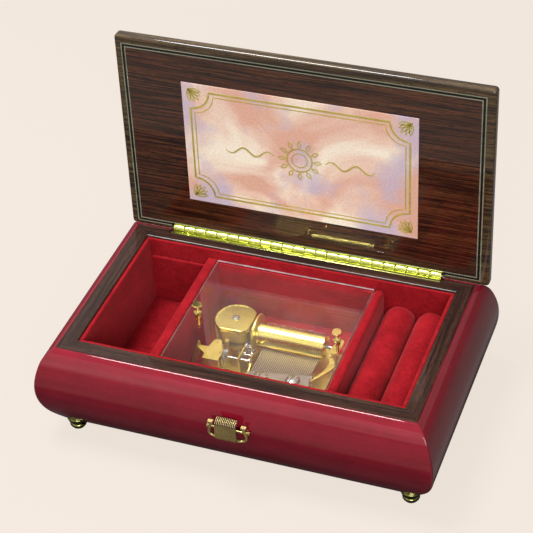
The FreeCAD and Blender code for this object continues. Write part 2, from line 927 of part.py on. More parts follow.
def make_great_wheel():
    """A crown wheel on the winding arbor's axis: its teeth stand up at its edge."""
    pitch_z = cylinder_z - drive_teeth * crown_module / 2
    mean_r = crown_mean_r()
    tip_z = pitch_z + 0.8 * crown_module
    root_z = pitch_z - 1.2 * crown_module
    body = turned(
        [
            (wheel_bore_r, root_z - wheel_web),
            (mean_r + crown_rim, root_z - wheel_web),
            (mean_r + crown_rim, root_z),
            (wheel_bore_r, root_z),
        ],
        drum_x,
        cylinder_y,
        0,
    )
    pitch = 2 * math.pi / crown_teeth
    half_root = pitch * (0.5 - backlash) * 0.6
    half_tip = pitch * 0.1
    inner = mean_r + crown_rim - crown_face
    outer = mean_r + crown_rim
    teeth = []
    for i in range(crown_teeth):
        a = i * pitch
        sections = []
        for z, half in ((root_z - 0.2, half_root), (tip_z, half_tip)):
            corners = [(inner, -half), (outer, -half), (outer, half), (inner, half)]
            sections.append(
                Part.makePolygon(
                    [
                        V(drum_x + r * math.cos(a + t), cylinder_y + r * math.sin(a + t), z)
                        for r, t in corners + corners[:1]
                    ]
                )
            )
        teeth.append(Part.makeLoft(sections, True, True))
    keep("great_wheel", body.fuse(teeth).removeSplitter())


def d_outline(r, flat_x, front_y, z, height):
    """A round pad cut flat on its right and its front, as the spring cover is."""
    pad = rod(r, (drum_x, cylinder_y, z), (0, 0, 1), height)
    keep_box = box(drum_x - r - 1, flat_x, front_y, cylinder_y + r + 1, z - 1, z + height + 1)
    return pad.common(keep_box)


def make_spring_drum():
    top = d_cover_top_z - d_cover_sheet
    shell = d_outline(drum_r, drum_flat_x, d_cover_front_y + 1.2, drum_bottom_z, top - drum_bottom_z)
    cavity = rod(drum_r - 3.4, (drum_x, cylinder_y, drum_bottom_z + 1), (0, 0, 1), top - drum_bottom_z)
    bore = rod(key_shaft_r + 0.4, (drum_x, cylinder_y, drum_bottom_z - 1), (0, 0, 1), 4)
    shell = shell.cut(cavity).cut(bore)
    posts = []
    for angle in (100, 185, 262):
        a = math.radians(angle)
        x = drum_x + (drum_r + 0.9) * math.cos(a)
        y = cylinder_y + (drum_r + 0.9) * math.sin(a)
        posts.append(rod(1.3, (x, y, bed_top), (0, 0, 1), drum_bottom_z + 3 - bed_top))
    shell = shell.fuse(posts)
    keep("spring_housing", shell)
    skirt_z = d_cover_top_z - d_cover_skirt
    cover = d_outline(d_cover_r, d_cover_flat_x, d_cover_front_y, skirt_z, d_cover_skirt)
    cover = rounded(cover, d_cover_corner_r, lambda e: e.BoundBox.ZLength > d_cover_skirt - 0.01)
    cover = rounded(
        cover,
        0.5,
        lambda e: e.BoundBox.ZLength < 0.01 and abs(e.BoundBox.ZMin - d_cover_top_z) < 0.01,
    )
    inner = d_outline(
        d_cover_r - d_cover_sheet,
        d_cover_flat_x - d_cover_sheet,
        d_cover_front_y + d_cover_sheet,
        d_cover_top_z - d_cover_skirt - 1,
        d_cover_skirt - d_cover_sheet + 1,
    )
    cover = cover.cut(inner)
    bumps = []
    for i in range(d_cover_bumps):
        a = math.radians(75 + i * 128 / (d_cover_bumps - 1))
        r = d_cover_r - 1.35
        place = V(drum_x + r * math.cos(a), cylinder_y + r * math.sin(a), d_cover_top_z - 0.1)
        bumps.append(Part.makeSphere(0.42, place))
    cover = cover.fuse(bumps)
    screw_hole = rod(1.2, (drum_x, cylinder_y, d_cover_top_z - 3), (0, 0, 1), 4)
    keep("spring_cover", cover.cut(screw_hole))
    pack_top = top - 3.2
    pack_bottom = drum_bottom_z + 1.4
    coil = rod(drum_r - 3.7, (drum_x, cylinder_y, pack_bottom), (0, 0, 1), pack_top - pack_bottom)
    core = rod(key_shaft_r + 0.6, (drum_x, cylinder_y, drum_bottom_z), (0, 0, 1), top - drum_bottom_z)
    keep("mainspring", coil.cut(core))
    screw = turned(
        [
            (0, -3.5),
            (1.2, -3.5),
            (1.2, 0),
            (2.1, 0),
            (2.1, 0.35),
            (1.5, 0.8),
            (0, 0.9),
        ],
        drum_x,
        cylinder_y,
        d_cover_top_z,
    )
    return screw


def make_bearings():
    bore = arbor_r + bearing_play
    y1, z1 = first_arbor()
    x = arch_x()
    disk = rod(arch_r, (x, cylinder_y, cylinder_z), (1, 0, 0), bearing_sheet)
    upper = box(
        x - 1,
        x + 2,
        cylinder_y - arch_r - 1,
        cylinder_y + arch_r + 1,
        cylinder_z - arch_below,
        cylinder_z + arch_r + 1,
    )
    leg = plate_x(
        [
            (cylinder_y - 2.0, cylinder_z),
            (cylinder_y + arch_r * 0.85, cylinder_z - 2.0),
            (cylinder_y + arch_r * 0.75, bed_top),
            (cylinder_y - 2.0, bed_top),
        ],
        x,
        bearing_sheet,
    )
    plate = disk.common(upper).fuse(leg).removeSplitter()
    plate = plate.cut(rod(shaft_r + bearing_play, (x - 1, y1, z1), (1, 0, 0), 3))
    plate = plate.cut(rod(bore, (x - 1, cylinder_y, cylinder_z), (1, 0, 0), 3))
    keep("left_bearing_plate", plate)
    make_right_bracket(bore)


def make_right_bracket(bore):
    """The right bearing: an upright, a foot, and a tongue bent forward over the stop lever."""
    x = bracket_x()
    z = bracket_top_z
    top = z + bearing_sheet
    post = plate_x(
        [
            (cylinder_y - 3.4, bed_top),
            (cylinder_y + 5.0, bed_top),
            (cylinder_y + 2.6, top),
            (cylinder_y - 2.6, top),
        ],
        x,
        bearing_sheet,
    )
    post = post.cut(rod(bore, (x - 1, cylinder_y, cylinder_z), (1, 0, 0), 3))
    front = cylinder_y - tongue_reach
    tongue = rod(tongue_r, (x + tongue_r - bearing_sheet, front, z), (0, 0, 1), bearing_sheet)
    strip = plate_z(
        [
            (x, cylinder_y + 2.4),
            (x, cylinder_y - 2.4),
            (x - bearing_sheet, front),
            (x - bearing_sheet + 2 * tongue_r, front),
            (x + 4.6, cylinder_y + 1.0),
            (x + 3.4, cylinder_y + 2.4),
        ],
        z,
        bearing_sheet,
    )
    foot = box(x - 3.5, x, cylinder_y - 3.0, cylinder_y + 4.4, bed_top, bed_top + 1.0)
    keep("right_bearing_bracket", post.fuse([tongue, strip, foot]).removeSplitter())


def tooth_root(x):
    """Where a tooth starts: the comb's slots run deeper towards the bass, at the left."""
    first = comb_centre_x - tooth_pitch * (tooth_count - 1) / 2
    share = (x - first) / (tooth_pitch * (tooth_count - 1))
    return bass_root_y + share * (treble_root_y - bass_root_y)


def make_comb():
    start = comb_centre_x - tooth_pitch * (tooth_count - 1) / 2
    left = start - tooth_pitch / 2 - comb_margin
    right = start + tooth_pitch * (tooth_count - 0.5) + comb_margin
    body = plate_z(
        [
            (left, comb_front_y),
            (right, comb_front_y),
            (right, tooth_root(right)),
            (left, tooth_root(left)),
        ],
        comb_top_z - comb_thickness,
        comb_thickness,
    )
    outline = []
    for i in range(tooth_count):
        x = start + i * tooth_pitch
        gap_y = tooth_root(x) - 1.0
        outline += [
            (x - tooth_width / 2, gap_y),
            (x - tooth_width * 0.42, tooth_tip_y),
            (x + tooth_width * 0.42, tooth_tip_y),
            (x + tooth_width / 2, gap_y),
        ]
    last = start + (tooth_count - 1) * tooth_pitch + tooth_width / 2
    first = start - tooth_width / 2
    outline += [(last, bass_root_y - 3), (first, bass_root_y - 3)]
    teeth = plate_z(outline, comb_top_z - tooth_thickness, tooth_thickness)
    comb = body.fuse(teeth).removeSplitter()
    screws = []
    block = plate_z(
        [
            (left + 1.0, comb_front_y + 1.0),
            (right - 1.0, comb_front_y + 1.0),
            (right - 1.0, tooth_root(right) - 1.5),
            (left + 1.0, tooth_root(left) - 1.5),
        ],
        bed_top,
        comb_top_z - comb_thickness - bed_top,
    )
    for x, y in (comb_screw_1, comb_screw_2):
        hole = rod(comb_screw_r + fit, (x, y, comb_top_z - comb_thickness - 1), (0, 0, 1), 5)
        comb = comb.cut(hole)
        screw = turned(
            [
                (0, -comb_screw_length),
                (comb_screw_r, -comb_screw_length),
                (comb_screw_r, 0),
                (comb_screw_head_r, 0),
                (comb_screw_head_r, 0.8),
                (comb_screw_head_r * 0.8, 1.7),
                (comb_screw_head_r * 0.45, 2.3),
                (0, 2.5),
            ],
            x,
            y,
            comb_top_z,
        )
        reach = comb_screw_head_r + 1
        slot = box(-reach, reach, -0.45, 0.45, comb_top_z + 1.2, comb_top_z + 4)
        slot.rotate(V(0, 0, 0), V(0, 0, 1), 72)
        slot.translate(V(x, y, 0))
        screws.append(screw.cut(slot))
        depth = comb_screw_length
        block = block.cut(rod(comb_screw_r, (x, y, comb_top_z - depth), (0, 0, 1), depth))
    keep("comb", comb)
    keep("comb_block", block)
    return screws


def make_bedplate():
    bed = box(bed_left, bed_right, bed_front, bed_back, bed_bottom, bed_top)
    bed = rounded(bed, 4.0, lambda e: e.BoundBox.ZLength > bed_thickness - 0.01)
    bed = bed.cut(rod(key_shaft_r + bearing_play, (drum_x, cylinder_y, 0), (0, 0, 1), bed_top + 1))
    bolt_top = case_bottom + bolt_recess + bolt_length + fit
    for x, y in movement_screw_places():
        bed = bed.fuse(rod(bolt_head_r, (x, y, bed_top), (0, 0, 1), boss_height))
        bed = bed.cut(rod(bolt_r, (x, y, 0), (0, 0, 1), bolt_top))
    keep("bedplate", bed)


def make_governor():
    y1, z1 = first_arbor()
    ym, zm = middle_arbor()
    y2, z2 = second_arbor_y, second_arbor_z
    hub = direction((cylinder_y, cylinder_z), (y1, z1))
    phase1 = mesh_phase(gear_teeth, 0, hub, first_pinion_teeth)
    xa = plate_a_x + plate_thickness
    face = first_pinion_end() - xa - 0.3
    pinion = gear(first_pinion_teeth, gear_module, xa + 0.3, face, y1, z1, phase1, 0)
    wheel = gear(wheel_teeth, wheel_module, first_wheel_x(), 0.6, y1, z1, 0, 0)
    shaft = rod(shaft_r, (plate_a_x, y1, z1), (1, 0, 0), first_end() - plate_a_x)
    keep("first_arbor", pinion.fuse([wheel, shaft]))
    to_middle = direction((y1, z1), (ym, zm))
    phase_m = mesh_phase(wheel_teeth, 0, to_middle, pinion_teeth)
    pinion = gear(pinion_teeth, wheel_module, first_wheel_x() - 0.3, 1.2, ym, zm, phase_m, 0)
    wheel = gear(wheel_teeth, wheel_module, middle_wheel_x(), 0.6, ym, zm, 0, 0)
    shaft = rod(shaft_r, (plate_a_x, ym, zm), (1, 0, 0), plate_b_x + plate_thickness - plate_a_x)
    keep("middle_arbor", pinion.fuse([wheel, shaft]))
    to_second = direction((ym, zm), (y2, z2))
    phase2 = mesh_phase(wheel_teeth, 0, to_second, pinion_teeth)
    pinion = gear(pinion_teeth, wheel_module, middle_wheel_x() - 0.3, 1.2, y2, z2, phase2, 0)
    left_end = worm_wheel_x - 0.8
    shaft = rod(shaft_r, (left_end, y2, z2), (1, 0, 0), plate_b_x + plate_thickness - left_end)
    keep("second_arbor", pinion.fuse(shaft))
    keep(
        "worm_wheel",
        gear(worm_wheel_teeth, worm_wheel_module, worm_wheel_x, worm_wheel_face, y2, z2, 0, shaft_r),
    )
    bore = shaft_r + bearing_play
    a = plate_x(
        [
            (y2 - 2.2, z2 + 2.2),
            (ym, zm + 2.6),
            (y1 + 0.4, z1 + 1.5),
            (y1 + 1.3, z1 + 0.6),
            (y1 + 1.2, z1 - 5.0),
            (ym + 2.0, bed_top),
            (y2 - 0.4, bed_top),
            (y2 - 1.2, z2 - 4.0),
        ],
        plate_a_x,
        plate_thickness,
    )
    b = plate_x(
        [
            (y2 - 2.4, z2 + 5.4),
            (y2 + 0.6, z2 + 4.6),
            (ym + 2.6, zm + 1.8),
            (ym + 1.6, bed_top + 4.0),
            (ym + 2.0, bed_top),
            (y2 - 8.6, bed_top),
            (y2 - 10.6, z2 + 0.6),
            (y2 - 7.0, z2 - 0.8),
            (y2 - 3.2, z2 + 1.6),
        ],
        plate_b_x,
        plate_thickness,
    )
    for y, z in ((y1, z1), (ym, zm), (y2, z2)):
        a = a.cut(rod(bore, (plate_a_x - 1, y, z), (1, 0, 0), 3))
    for y, z in ((ym, zm), (y2, z2)):
        b = b.cut(rod(bore, (plate_b_x - 1, y, z), (1, 0, 0), 3))
    keep("governor_plates", Part.makeCompound([a, b]))
    make_worm(z2)


def first_wheel_x():
    return cylinder_gear_x() - 1.8


def middle_wheel_x():
    return plate_b_x - 1.6


def first_pinion_end():
    return arch_x() - 0.2


def first_end():
    return arch_x() + bearing_sheet


def worm_place():
    x = worm_wheel_x + worm_wheel_face / 2
    y = second_arbor_y - tip_radius(worm_wheel_teeth, worm_wheel_module) - worm_r - 0.12
    return x, y


def make_worm(z):
    """The upright spindle with its worm beside the plastic wheel, and the two-winged fan low on it."""
    x, y = worm_place()
    spindle = rod(spindle_r, (x, y, bed_top), (0, 0, 1), bridge_top_z - bed_top)
    worm = rod(worm_r, (x, y, z - worm_length / 2), (0, 0, 1), worm_length)
    keep("worm_spindle", spindle.fuse(worm))
    hub = rod(fan_hub_r, (x, y, fan_bottom_z), (0, 0, 1), fan_height)
    half = fan_sheet / 2
    wing = box(x - fan_r, x - fan_hub_r / 2, y - half, y + half, fan_bottom_z, fan_bottom_z + fan_height)
    other = wing.copy()
    other.rotate(V(x, y, 0), V(0, 0, 1), 180)
    fan = hub.fuse([wing, other])
    keep("air_fan", fan.cut(rod(spindle_r, (x, y, fan_bottom_z - 1), (0, 0, 1), fan_height + 2)))
    make_bridge(x, y)


def make_bridge(x, y):
    """The bent sheet over the governor: round at the back, folded down in front, a spike at its left."""
    t = bridge_sheet
    z = bridge_top_z - t
    nose_r = 2.6
    nose = rod(nose_r, (bridge_nose_x, bridge_back - nose_r, z), (0, 0, 1), t)
    plate = plate_z(
        [
            (bridge_left, bridge_front),
            (bridge_right, bridge_front),
            (bridge_right, y + spindle_r + t),
            (bridge_nose_x + nose_r, bridge_back - nose_r),
            (bridge_nose_x - nose_r, bridge_back - nose_r),
            (bridge_left, blade_y),
        ],
        z,
        t,
    )
    fold = box(bridge_left, bridge_right, bridge_front, bridge_front + t, z - bridge_fold, z)
    legs = [
        box(bridge_left, bridge_left + bridge_leg, bridge_front, bridge_front + t, bed_top, z),
        box(bridge_right - bridge_leg, bridge_right, bridge_front, bridge_front + t, bed_top, z),
    ]
    tip_x, tip_z = blade_tip
    foot_x, foot_z = blade_foot
    arm = plate_z(
        [
            (bridge_left + t, blade_y - arm_root_width),
            (bridge_left + t, blade_y + t),
            (tip_x - 0.6, blade_y + t),
            (tip_x - 0.6, blade_y - t),
        ],
        z,
        t,
    )
    spike = [
        (tip_x - 0.4, tip_z),
        (tip_x + 0.3, tip_z - 0.2),
        (tip_x + 1.1, z - t),
        (foot_x + blade_foot_width, foot_z),
        (foot_x, foot_z),
    ]
    blade = face_of([(px, blade_y, pz) for px, pz in spike]).extrude(V(0, t, 0))
    bridge = plate.fuse([nose, fold, arm, blade] + legs).removeSplitter()
    bridge = bridge.cut(rod(spindle_r + bearing_play, (x, y, z - 1), (0, 0, 1), 3))
    rivet = rod(1.0, (rivet_place[0], rivet_place[1], bridge_top_z), (0, 0, 1), 0.4)
    keep("governor_bridge", bridge.fuse(rivet))


def make_stop_lever():
    """The bent lever that catches the cylinder's end, swinging on a short post."""
    z = stop_lever_z
    px, py = lever_post
    top = z + 1.6
    foot_r = 2 * lever_post_r
    post = turned(
        [
            (0, bed_top),
            (foot_r, bed_top),
            (foot_r, bed_top + 1.5),
            (lever_post_r, bed_top + 2.2),
            (lever_post_r, top),
            (0, top),
        ],
        px,
        py,
        0,
    )
    keep("stop_post", post)
    ex, ey = lever_elbow
    stem = [(px - 1.3, py), (px + 1.3, py + 0.6), (ex, ey), (ex - 3.4, ey + 1.2), (px - 0.7, py - 1.6)]
    blade = [
        (ex - 3.4, ey + 1.2),
        (ex, ey),
        (ex - 0.4, ey - 2.2),
        (ex - 4.0, ey - 8.8),
        (lever_tip_x + 0.4, lever_tip_y - 0.8),
        (lever_tip_x - 0.2, lever_tip_y),
        (ex - 6.0, ey - 8.6),
        (ex - 4.2, ey - 3.6),
    ]
    nose = [(px - 1.6, py - 0.4), (px + 0.4, py + 1.6), (px - 3.7, py + 6.2), (px - 4.4, py + 5.6)]
    parts = [plate_z(points, z, lever_sheet) for points in (stem, blade, nose)]
    ring = rod(lever_post_r + 1.0, (px, py, z), (0, 0, 1), lever_sheet)
    lever = ring.fuse(parts).removeSplitter()
    keep("stop_lever", lever.cut(rod(lever_post_r + bearing_play, (px, py, z - 1), (0, 0, 1), 3)))


def grip_profile(more):
    """Side view of the ribbed grip, (out, up) from its stem: upright in front, bent back at its top."""
    out = grip_out + more
    t = grip_sheet
    top = grip_above + more
    return [
        (1.6, top),
        (out - 0.9, top - 0.8),
        (out, top - 1.9),
        (out + 0.1, 0.4),
        (out - 0.1, -grip_below + 1.0),
        (out - 0.6, -grip_below - more),
        (out - 0.6 - t, -grip_below),
        (grip_out - t, 0),
        (grip_out - t, grip_above - 2.5),
        (grip_out - 1.6, grip_above - 1.9),
        (1.6, grip_above - t),
    ]


def make_switch():
    z = switch_z()
    face_y = wall_face_y(z) - fit
    left = switch_x - grip_width / 2

    def section(x, width, more):
        outline = [(x, face_y - out, z + up) for out, up in grip_profile(more)]
        return face_of(outline).extrude(V(width, 0, 0))

    pitch = grip_width / grip_rib_count
    ribs = [section(left + (i + 0.2) * pitch, pitch * 0.6, grip_rib) for i in range(grip_rib_count)]
    neck = box(
        switch_x - 2 * stem_half,
        switch_x + 2 * stem_half,
        face_y - grip_out + grip_sheet / 2,
        face_y - fit,
        z - stem_half,
        z + stem_half,
    )
    grip = section(left, grip_width, 0).fuse(ribs + [neck])
    keep("switch_knob", grip)
    stem_end = bay_front + stop_bar_gap
    half = stem_half
    stem = box(switch_x - half, switch_x + half, face_y - 1, stem_end, z - half, z + half)
    keep("switch_stem", stem.cut(neck))
    arms = [switch_arm(sx, face_y, z).cut(grip) for sx in (-1, 1)]
    keep("switch_arms", Part.makeCompound(arms))
    make_stop_slide(z)


def switch_arm(side, face_y, z):
    """A wire bent down and in under the grip, tabbed at its top, and the crossbar behind it."""

    def at(along, out, up):
        return V(switch_x + side * along, face_y - out, z + up)

    route = [
        (8.8, wire_out, 3.6),
        (9.5, wire_out, 0.9),
        (10.3, wire_out, -2.0),
        (10.0, wire_out, -4.0),
        (8.3, wire_out, -5.1),
        (6.4, wire_out + 0.7, -5.0),
        (4.9, grip_out - 0.8, -3.2),
    ]
    curve = Part.BSplineCurve()
    curve.interpolate([at(*place) for place in route])
    path = Part.Wire([curve.toShape()])
    start = Part.Wire([Part.makeCircle(wire_r, at(*route[0]), path.Edges[0].tangentAt(0))])
    wire = path.makePipeShell([start], True, True)

    def block(along0, along1, out0, out1, up0, up1):
        a = at(along0, out0, up0)
        b = at(along1, out1, up1)
        return box(min(a.x, b.x), max(a.x, b.x), min(a.y, b.y), max(a.y, b.y), a.z, b.z)

    half = tab_depth / 2
    tab = block(7.8, 7.8 + tab_width, wire_out - half, wire_out + half, 3.5, 3.5 + tab_thickness)
    bar_start = 2 * stem_half
    bar = rod(crossbar_r, at(bar_start, crossbar_out, 0), (side, 0, 0), crossbar_reach - bar_start)
    end = block(
        crossbar_reach - tab_thickness,
        crossbar_reach,
        crossbar_out - 0.7,
        crossbar_out + 0.7,
        -0.7,
        0.7,
    )
    return wire.fuse([tab, bar, end])


def make_stop_slide(stem_z):
    """A bent strip on the switch's stem: down behind the front wall, along, and back to the stop lever."""
    y = bay_front + stop_bar_gap
    t = lever_sheet
    pin_x, pin_y = stop_pin_place()
    z = bed_top + 3.0
    half = stem_half + 0.2
    drop = box(switch_x - half, switch_x + half, y, y + t, z, stem_z + half)
    along = box(switch_x - half, pin_x + 0.5, y, y + t, z, z + 2.0)
    back = box(pin_x - 0.5, pin_x + 0.5, y, pin_y + 0.5, z, z + 1.0)
    pin = rod(0.5, (pin_x, pin_y, z), (0, 0, 1), stop_lever_z + 1.2 - z)
    keep("stop_slide", drop.fuse([along, back, pin]).removeSplitter())


def stop_pin_place():
    """Just left of the stop lever's tip."""
    return lever_tip_x - 0.8, lever_tip_y


def wall_face_y(z):
    """The front wall's outside face at a height, from the same outline."""
    curve = Part.BSplineCurve()
    curve.interpolate([V(0, -half_d - u, rim_top - h) for u, h in bulge_outline()])
    cut = Part.makeBox(2, 60, 0.02, V(-1, -half_d - 30, z - 0.01))
    points = curve.toShape().common(cut).Vertexes
    return points[0].Y


def make_key():
    shaft_top = drum_bottom_z + 4.0
    wing_top = key_clear + key_wing_height
    arbor = rod(key_shaft_r, (drum_x, cylinder_y, wing_top), (0, 0, 1), shaft_top - wing_top)
    keep("winding_arbor", arbor)
    w = key_wing_width / 2
    outline = [
        (drum_x - w, key_clear + 1.4),
        (drum_x - w + 1.4, key_clear),
        (drum_x - 2.6, key_clear + 0.9),
        (drum_x + 2.6, key_clear + 0.9),
        (drum_x + w - 1.4, key_clear),
        (drum_x + w, key_clear + 1.4),
        (drum_x + w, wing_top - 1.4),
        (drum_x + w - 1.4, wing_top),
        (drum_x - w + 1.4, wing_top),
        (drum_x - w, wing_top - 1.4),
    ]
    wing = face_of([(x, cylinder_y - key_wing_thickness / 2, z) for x, z in outline])
    wing = wing.extrude(V(0, key_wing_thickness, 0))
    collar = rod(2.6, (drum_x, cylinder_y, wing_top - 3.2), (0, 0, 1), 4.4)
    key = wing.fuse(collar).removeSplitter()
    keep("winding_key", key.cut(rod(key_shaft_r, (drum_x, cylinder_y, wing_top), (0, 0, 1), 6)))


make_case()
make_base()
make_feet()
make_lining()
make_ring_rolls()
make_lid()
make_hinge()
make_cover()
make_bedplate()
make_cylinder()
make_great_wheel()
cover_screw = make_spring_drum()
make_bearings()
comb_screws = make_comb()
keep("movement_screws", Part.makeCompound(comb_screws + [cover_screw]))
make_governor()
make_stop_lever()
make_switch()
make_key()

for name, shape in nodes.items():
    solids = shape.Solids
    if len(solids) == 1:
        shape = solids[0]
    shape.translate(V(0, -open_box_middle, 0))
    if not shape.isValid():
        print("not valid:", name)
    print(name, len(solids), round(shape.Volume, 1))
    shape.exportStep("parts/" + name + ".step")
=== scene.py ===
import math
import random

import bmesh
import bpy
from mathutils import Matrix, Vector


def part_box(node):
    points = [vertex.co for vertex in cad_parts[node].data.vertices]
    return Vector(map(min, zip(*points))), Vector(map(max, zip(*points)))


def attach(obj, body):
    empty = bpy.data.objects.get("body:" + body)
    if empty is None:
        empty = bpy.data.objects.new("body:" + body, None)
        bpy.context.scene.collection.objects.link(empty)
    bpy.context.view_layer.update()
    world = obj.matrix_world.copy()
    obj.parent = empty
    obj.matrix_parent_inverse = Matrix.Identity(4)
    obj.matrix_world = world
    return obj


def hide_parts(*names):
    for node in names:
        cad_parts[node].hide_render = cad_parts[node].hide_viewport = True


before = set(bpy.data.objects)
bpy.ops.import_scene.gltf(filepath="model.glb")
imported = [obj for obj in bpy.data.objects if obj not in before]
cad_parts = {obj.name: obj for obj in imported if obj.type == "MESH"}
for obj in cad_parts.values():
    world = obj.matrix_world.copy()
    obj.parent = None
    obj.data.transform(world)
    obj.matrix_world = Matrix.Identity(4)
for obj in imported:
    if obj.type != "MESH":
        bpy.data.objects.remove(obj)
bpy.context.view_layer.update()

# A jewellery music box with its lid open: lacquered bombe case on brass feet, velvet bays,
# and a comb movement under a clear cover. Sizes below are millimetres, as on the object.

MM = 0.001

# The origin lies under the middle of the open box; the sizes below start at the case's middle.
case_shift = 2.0

# Case
half_w = 100.0
half_d = 56.85
rim_top = 58.5
case_bottom = 9.0
wall_thickness = 9.5
bulge_outline = [(0, 0), (3.8, 2.9), (7.9, 10.6), (10.6, 26.0), (7.7, 39.3), (1.1, 49.5)]
rim_thickness = 2.0
rim_lip = 0.7
rim_inner_round = 0.8
rebate_width = 3.0
base_top = 14.0
foot_inset = 5.8
foot_shade_dark = 0.60               # painted shade: how dark the lacquer is painted at the foot
foot_shade_heights = (0.022, 0.047)  # metres: painted shade, darkest below the first, full colour above the second
# Painted shade: the right wall's lacquer is darker all over, as for a wall turned from the light.
right_wall_shade = 0.72

# Lining
lining_side = 2.2
cleat_width = 1.8
roll_foot = 11.0
roll_steps = 40

# Lid
hinge_y = 58.1
hinge_z = 58.9
lid_angle = 92.0
lid_face = 59.3
lid_thickness = 6.42
lid_left = -104.3
lid_right = 106.3
lid_front = -63.4
lid_back = 60.1
lid_corner = 2.2
lid_inner_round = 1.3
lid_outer_round = 2.3
inlay_left = -100.7
inlay_right = 101.4
inlay_front = 4.6
inlay_back = 2.5
inlay_width = 2.56
line_width = 0.62
inlay_thickness = 0.4
card_thickness = 0.4
card_size = (132.8, 76.4)
card_centre_x = -0.4
card_from_hinge = 21.9

# Piano hinge
knuckle_count = 24
knuckle_gap = 0.2
barrel_r = 2.0
knuckle_bore = 0.85
leaf_thickness = 0.7
leaf_reach = 5.0
lid_leaf_shown = 2.6
scoop_r = 2.25
mortise_ends = 1.5
nail_count = 4
nails_from_hinge = 3.5

# Movement and play switch
tooth_count = 30
tooth_pitch = 1.087
first_tooth_x = 10.05 - 1.087 * 14.5
root_slope = 0.184       # the line of the teeth's roots, in the frame's axes
root_at_middle = -12.05
comb_angle = 207.7
comb_clearance = 9       # degrees round the cylinder kept free of pins
pins_per_track = 13
pin_radius = 0.15
pin_sides = 7
pin_profile = ((0, 1.0), (0.36, 1.0), (0.43, 0.6))  # height above the foot, share of the radius
grip_wires = 12
grip_stem_z = 38.1
grip_stand_out = 5.85
grip_wire_r = 0.23
grip_wire_course = [
    (1.4, 8.02), (3.2, 7.62), (4.7, 7.02), (5.4, 6.1), (5.54, 5.2),
    (5.54, 2.5), (5.54, 0.0), (5.42, -2.4), (5.15, -3.6), (4.7, -4.2),
]

# Studio
sweep_radius = 3000
sweep_curve = 1000
sweep_top = 1600

# Camera, solved from the case's straight edges
camera_place = (275.6, -664.35, 667.7)
camera_azimuth = 22.45
camera_elevation = 38.66
camera_roll = -3.89
camera_lens = 118.86


def metres(x, y, z):
    return Vector((x * MM, y * MM, z * MM))


def placed(x, y, z):
    """A point given from the middle of the case, in the frame's metres."""
    return metres(x, y + case_shift, z)


# Mesh helpers


def add_piece(name, verts, faces, smooth=40):
    mesh = bpy.data.meshes.new(name)
    mesh.from_pydata([metres(*v) for v in verts], [], faces)
    mesh.update()
    piece = bpy.data.objects.new(name, mesh)
    bpy.context.scene.collection.objects.link(piece)
    piece.location = metres(0, case_shift, 0)
    bpy.context.view_layer.update()
    tidy_normals(piece, smooth)
    return piece


def tidy_normals(piece, smooth=40):
    """Faces outward, smooth shading, and creases where faces meet at more than the angle."""
    bm = bmesh.new()
    bm.from_mesh(piece.data)
    bmesh.ops.remove_doubles(bm, verts=bm.verts, dist=1e-7)
    bmesh.ops.recalc_face_normals(bm, faces=bm.faces)
    for face in bm.faces:
        face.smooth = True
    bm.to_mesh(piece.data)
    bm.free()
    piece.data.set_sharp_from_angle(angle=math.radians(smooth))


def bake(piece):
    """Applies a piece's modifiers to its mesh."""
    graph = bpy.context.evaluated_depsgraph_get()
    mesh = bpy.data.meshes.new_from_object(piece.evaluated_get(graph))
    piece.modifiers.clear()
    piece.data = mesh
    return piece


def soften(piece, width, segments=3, angle=35):
    """Rounds a piece's crisp edges."""
    edge = piece.modifiers.new("edge", "BEVEL")
    edge.width = width * MM
    edge.segments = segments
    edge.limit_method = "ANGLE"
    edge.angle_limit = math.radians(angle)
    edge.harden_normals = True
    bake(piece)
    return piece


def cut_out(piece, cutter):
    tool = piece.modifiers.new("cut", "BOOLEAN")
    tool.operation = "DIFFERENCE"
    tool.solver = "EXACT"
    tool.object = cutter
    bpy.context.view_layer.update()
    bake(piece)
    bpy.data.objects.remove(cutter)
    tidy_normals(piece)
    return piece


def skin(rows, count, start=0, capped=True, flipped=False, closed=False):
    """Faces over rows of count points; ends capped, or the last row joined to the first."""
    faces = []
    for k in range(rows if closed else rows - 1):
        a, b = start + k * count, start + (k + 1) % rows * count
        for i in range(count):
            j = (i + 1) % count
            faces.append((a + i, a + j, b + j, b + i))
    if capped and not closed:
        turn = 1 if flipped else -1
        faces.append(tuple(range(start, start + count))[::turn])
        faces.append(tuple(range(start + (rows - 1) * count, start + rows * count))[::-turn])
    return faces


def block(name, x0, x1, y0, y1, z0, z1):
    corners = [(x, y, z) for z in (z0, z1) for y in (y0, y1) for x in (x0, x1)]
    faces = [(0, 2, 3, 1), (4, 5, 7, 6), (0, 1, 5, 4), (2, 6, 7, 3), (0, 4, 6, 2), (1, 3, 7, 5)]
    return add_piece(name, corners, faces)


def turning(name, profile, x, y, sides=64, smooth=50):
    """A turned piece from (radius, height) points, on a vertical axis."""
    verts = []
    for r, z in profile:
        for i in range(sides):
            a = 2 * math.pi * i / sides
            verts.append((x + r * math.cos(a), y + r * math.sin(a), z))
    return add_piece(name, verts, skin(len(profile), sides), smooth)


def lathe_x(name, profile, y, z, sides=48, smooth=40):
    """A turned piece from a closed run of (x, radius) points, on an axis along X."""
    verts = []
    for x, r in profile:
        for i in range(sides):
            a = 2 * math.pi * i / sides
            verts.append((x, y + r * math.cos(a), z + r * math.sin(a)))
    return add_piece(name, verts, skin(len(profile), sides, closed=True), smooth)


def tube(name, path, r, sides=10):
    """Round wire along a path of points."""
    path = [Vector(p) for p in path]
    verts = []
    across = None
    for i, at in enumerate(path):
        along = (path[min(i + 1, len(path) - 1)] - path[max(i - 1, 0)]).normalized()
        if across is None:
            across = along.orthogonal().normalized()
        across = (across - along * across.dot(along)).normalized()
        third = along.cross(across)
        for k in range(sides):
            a = 2 * math.pi * k / sides
            verts.append(tuple(at + (across * math.cos(a) + third * math.sin(a)) * r))
    return add_piece(name, verts, skin(len(path), sides), 60)


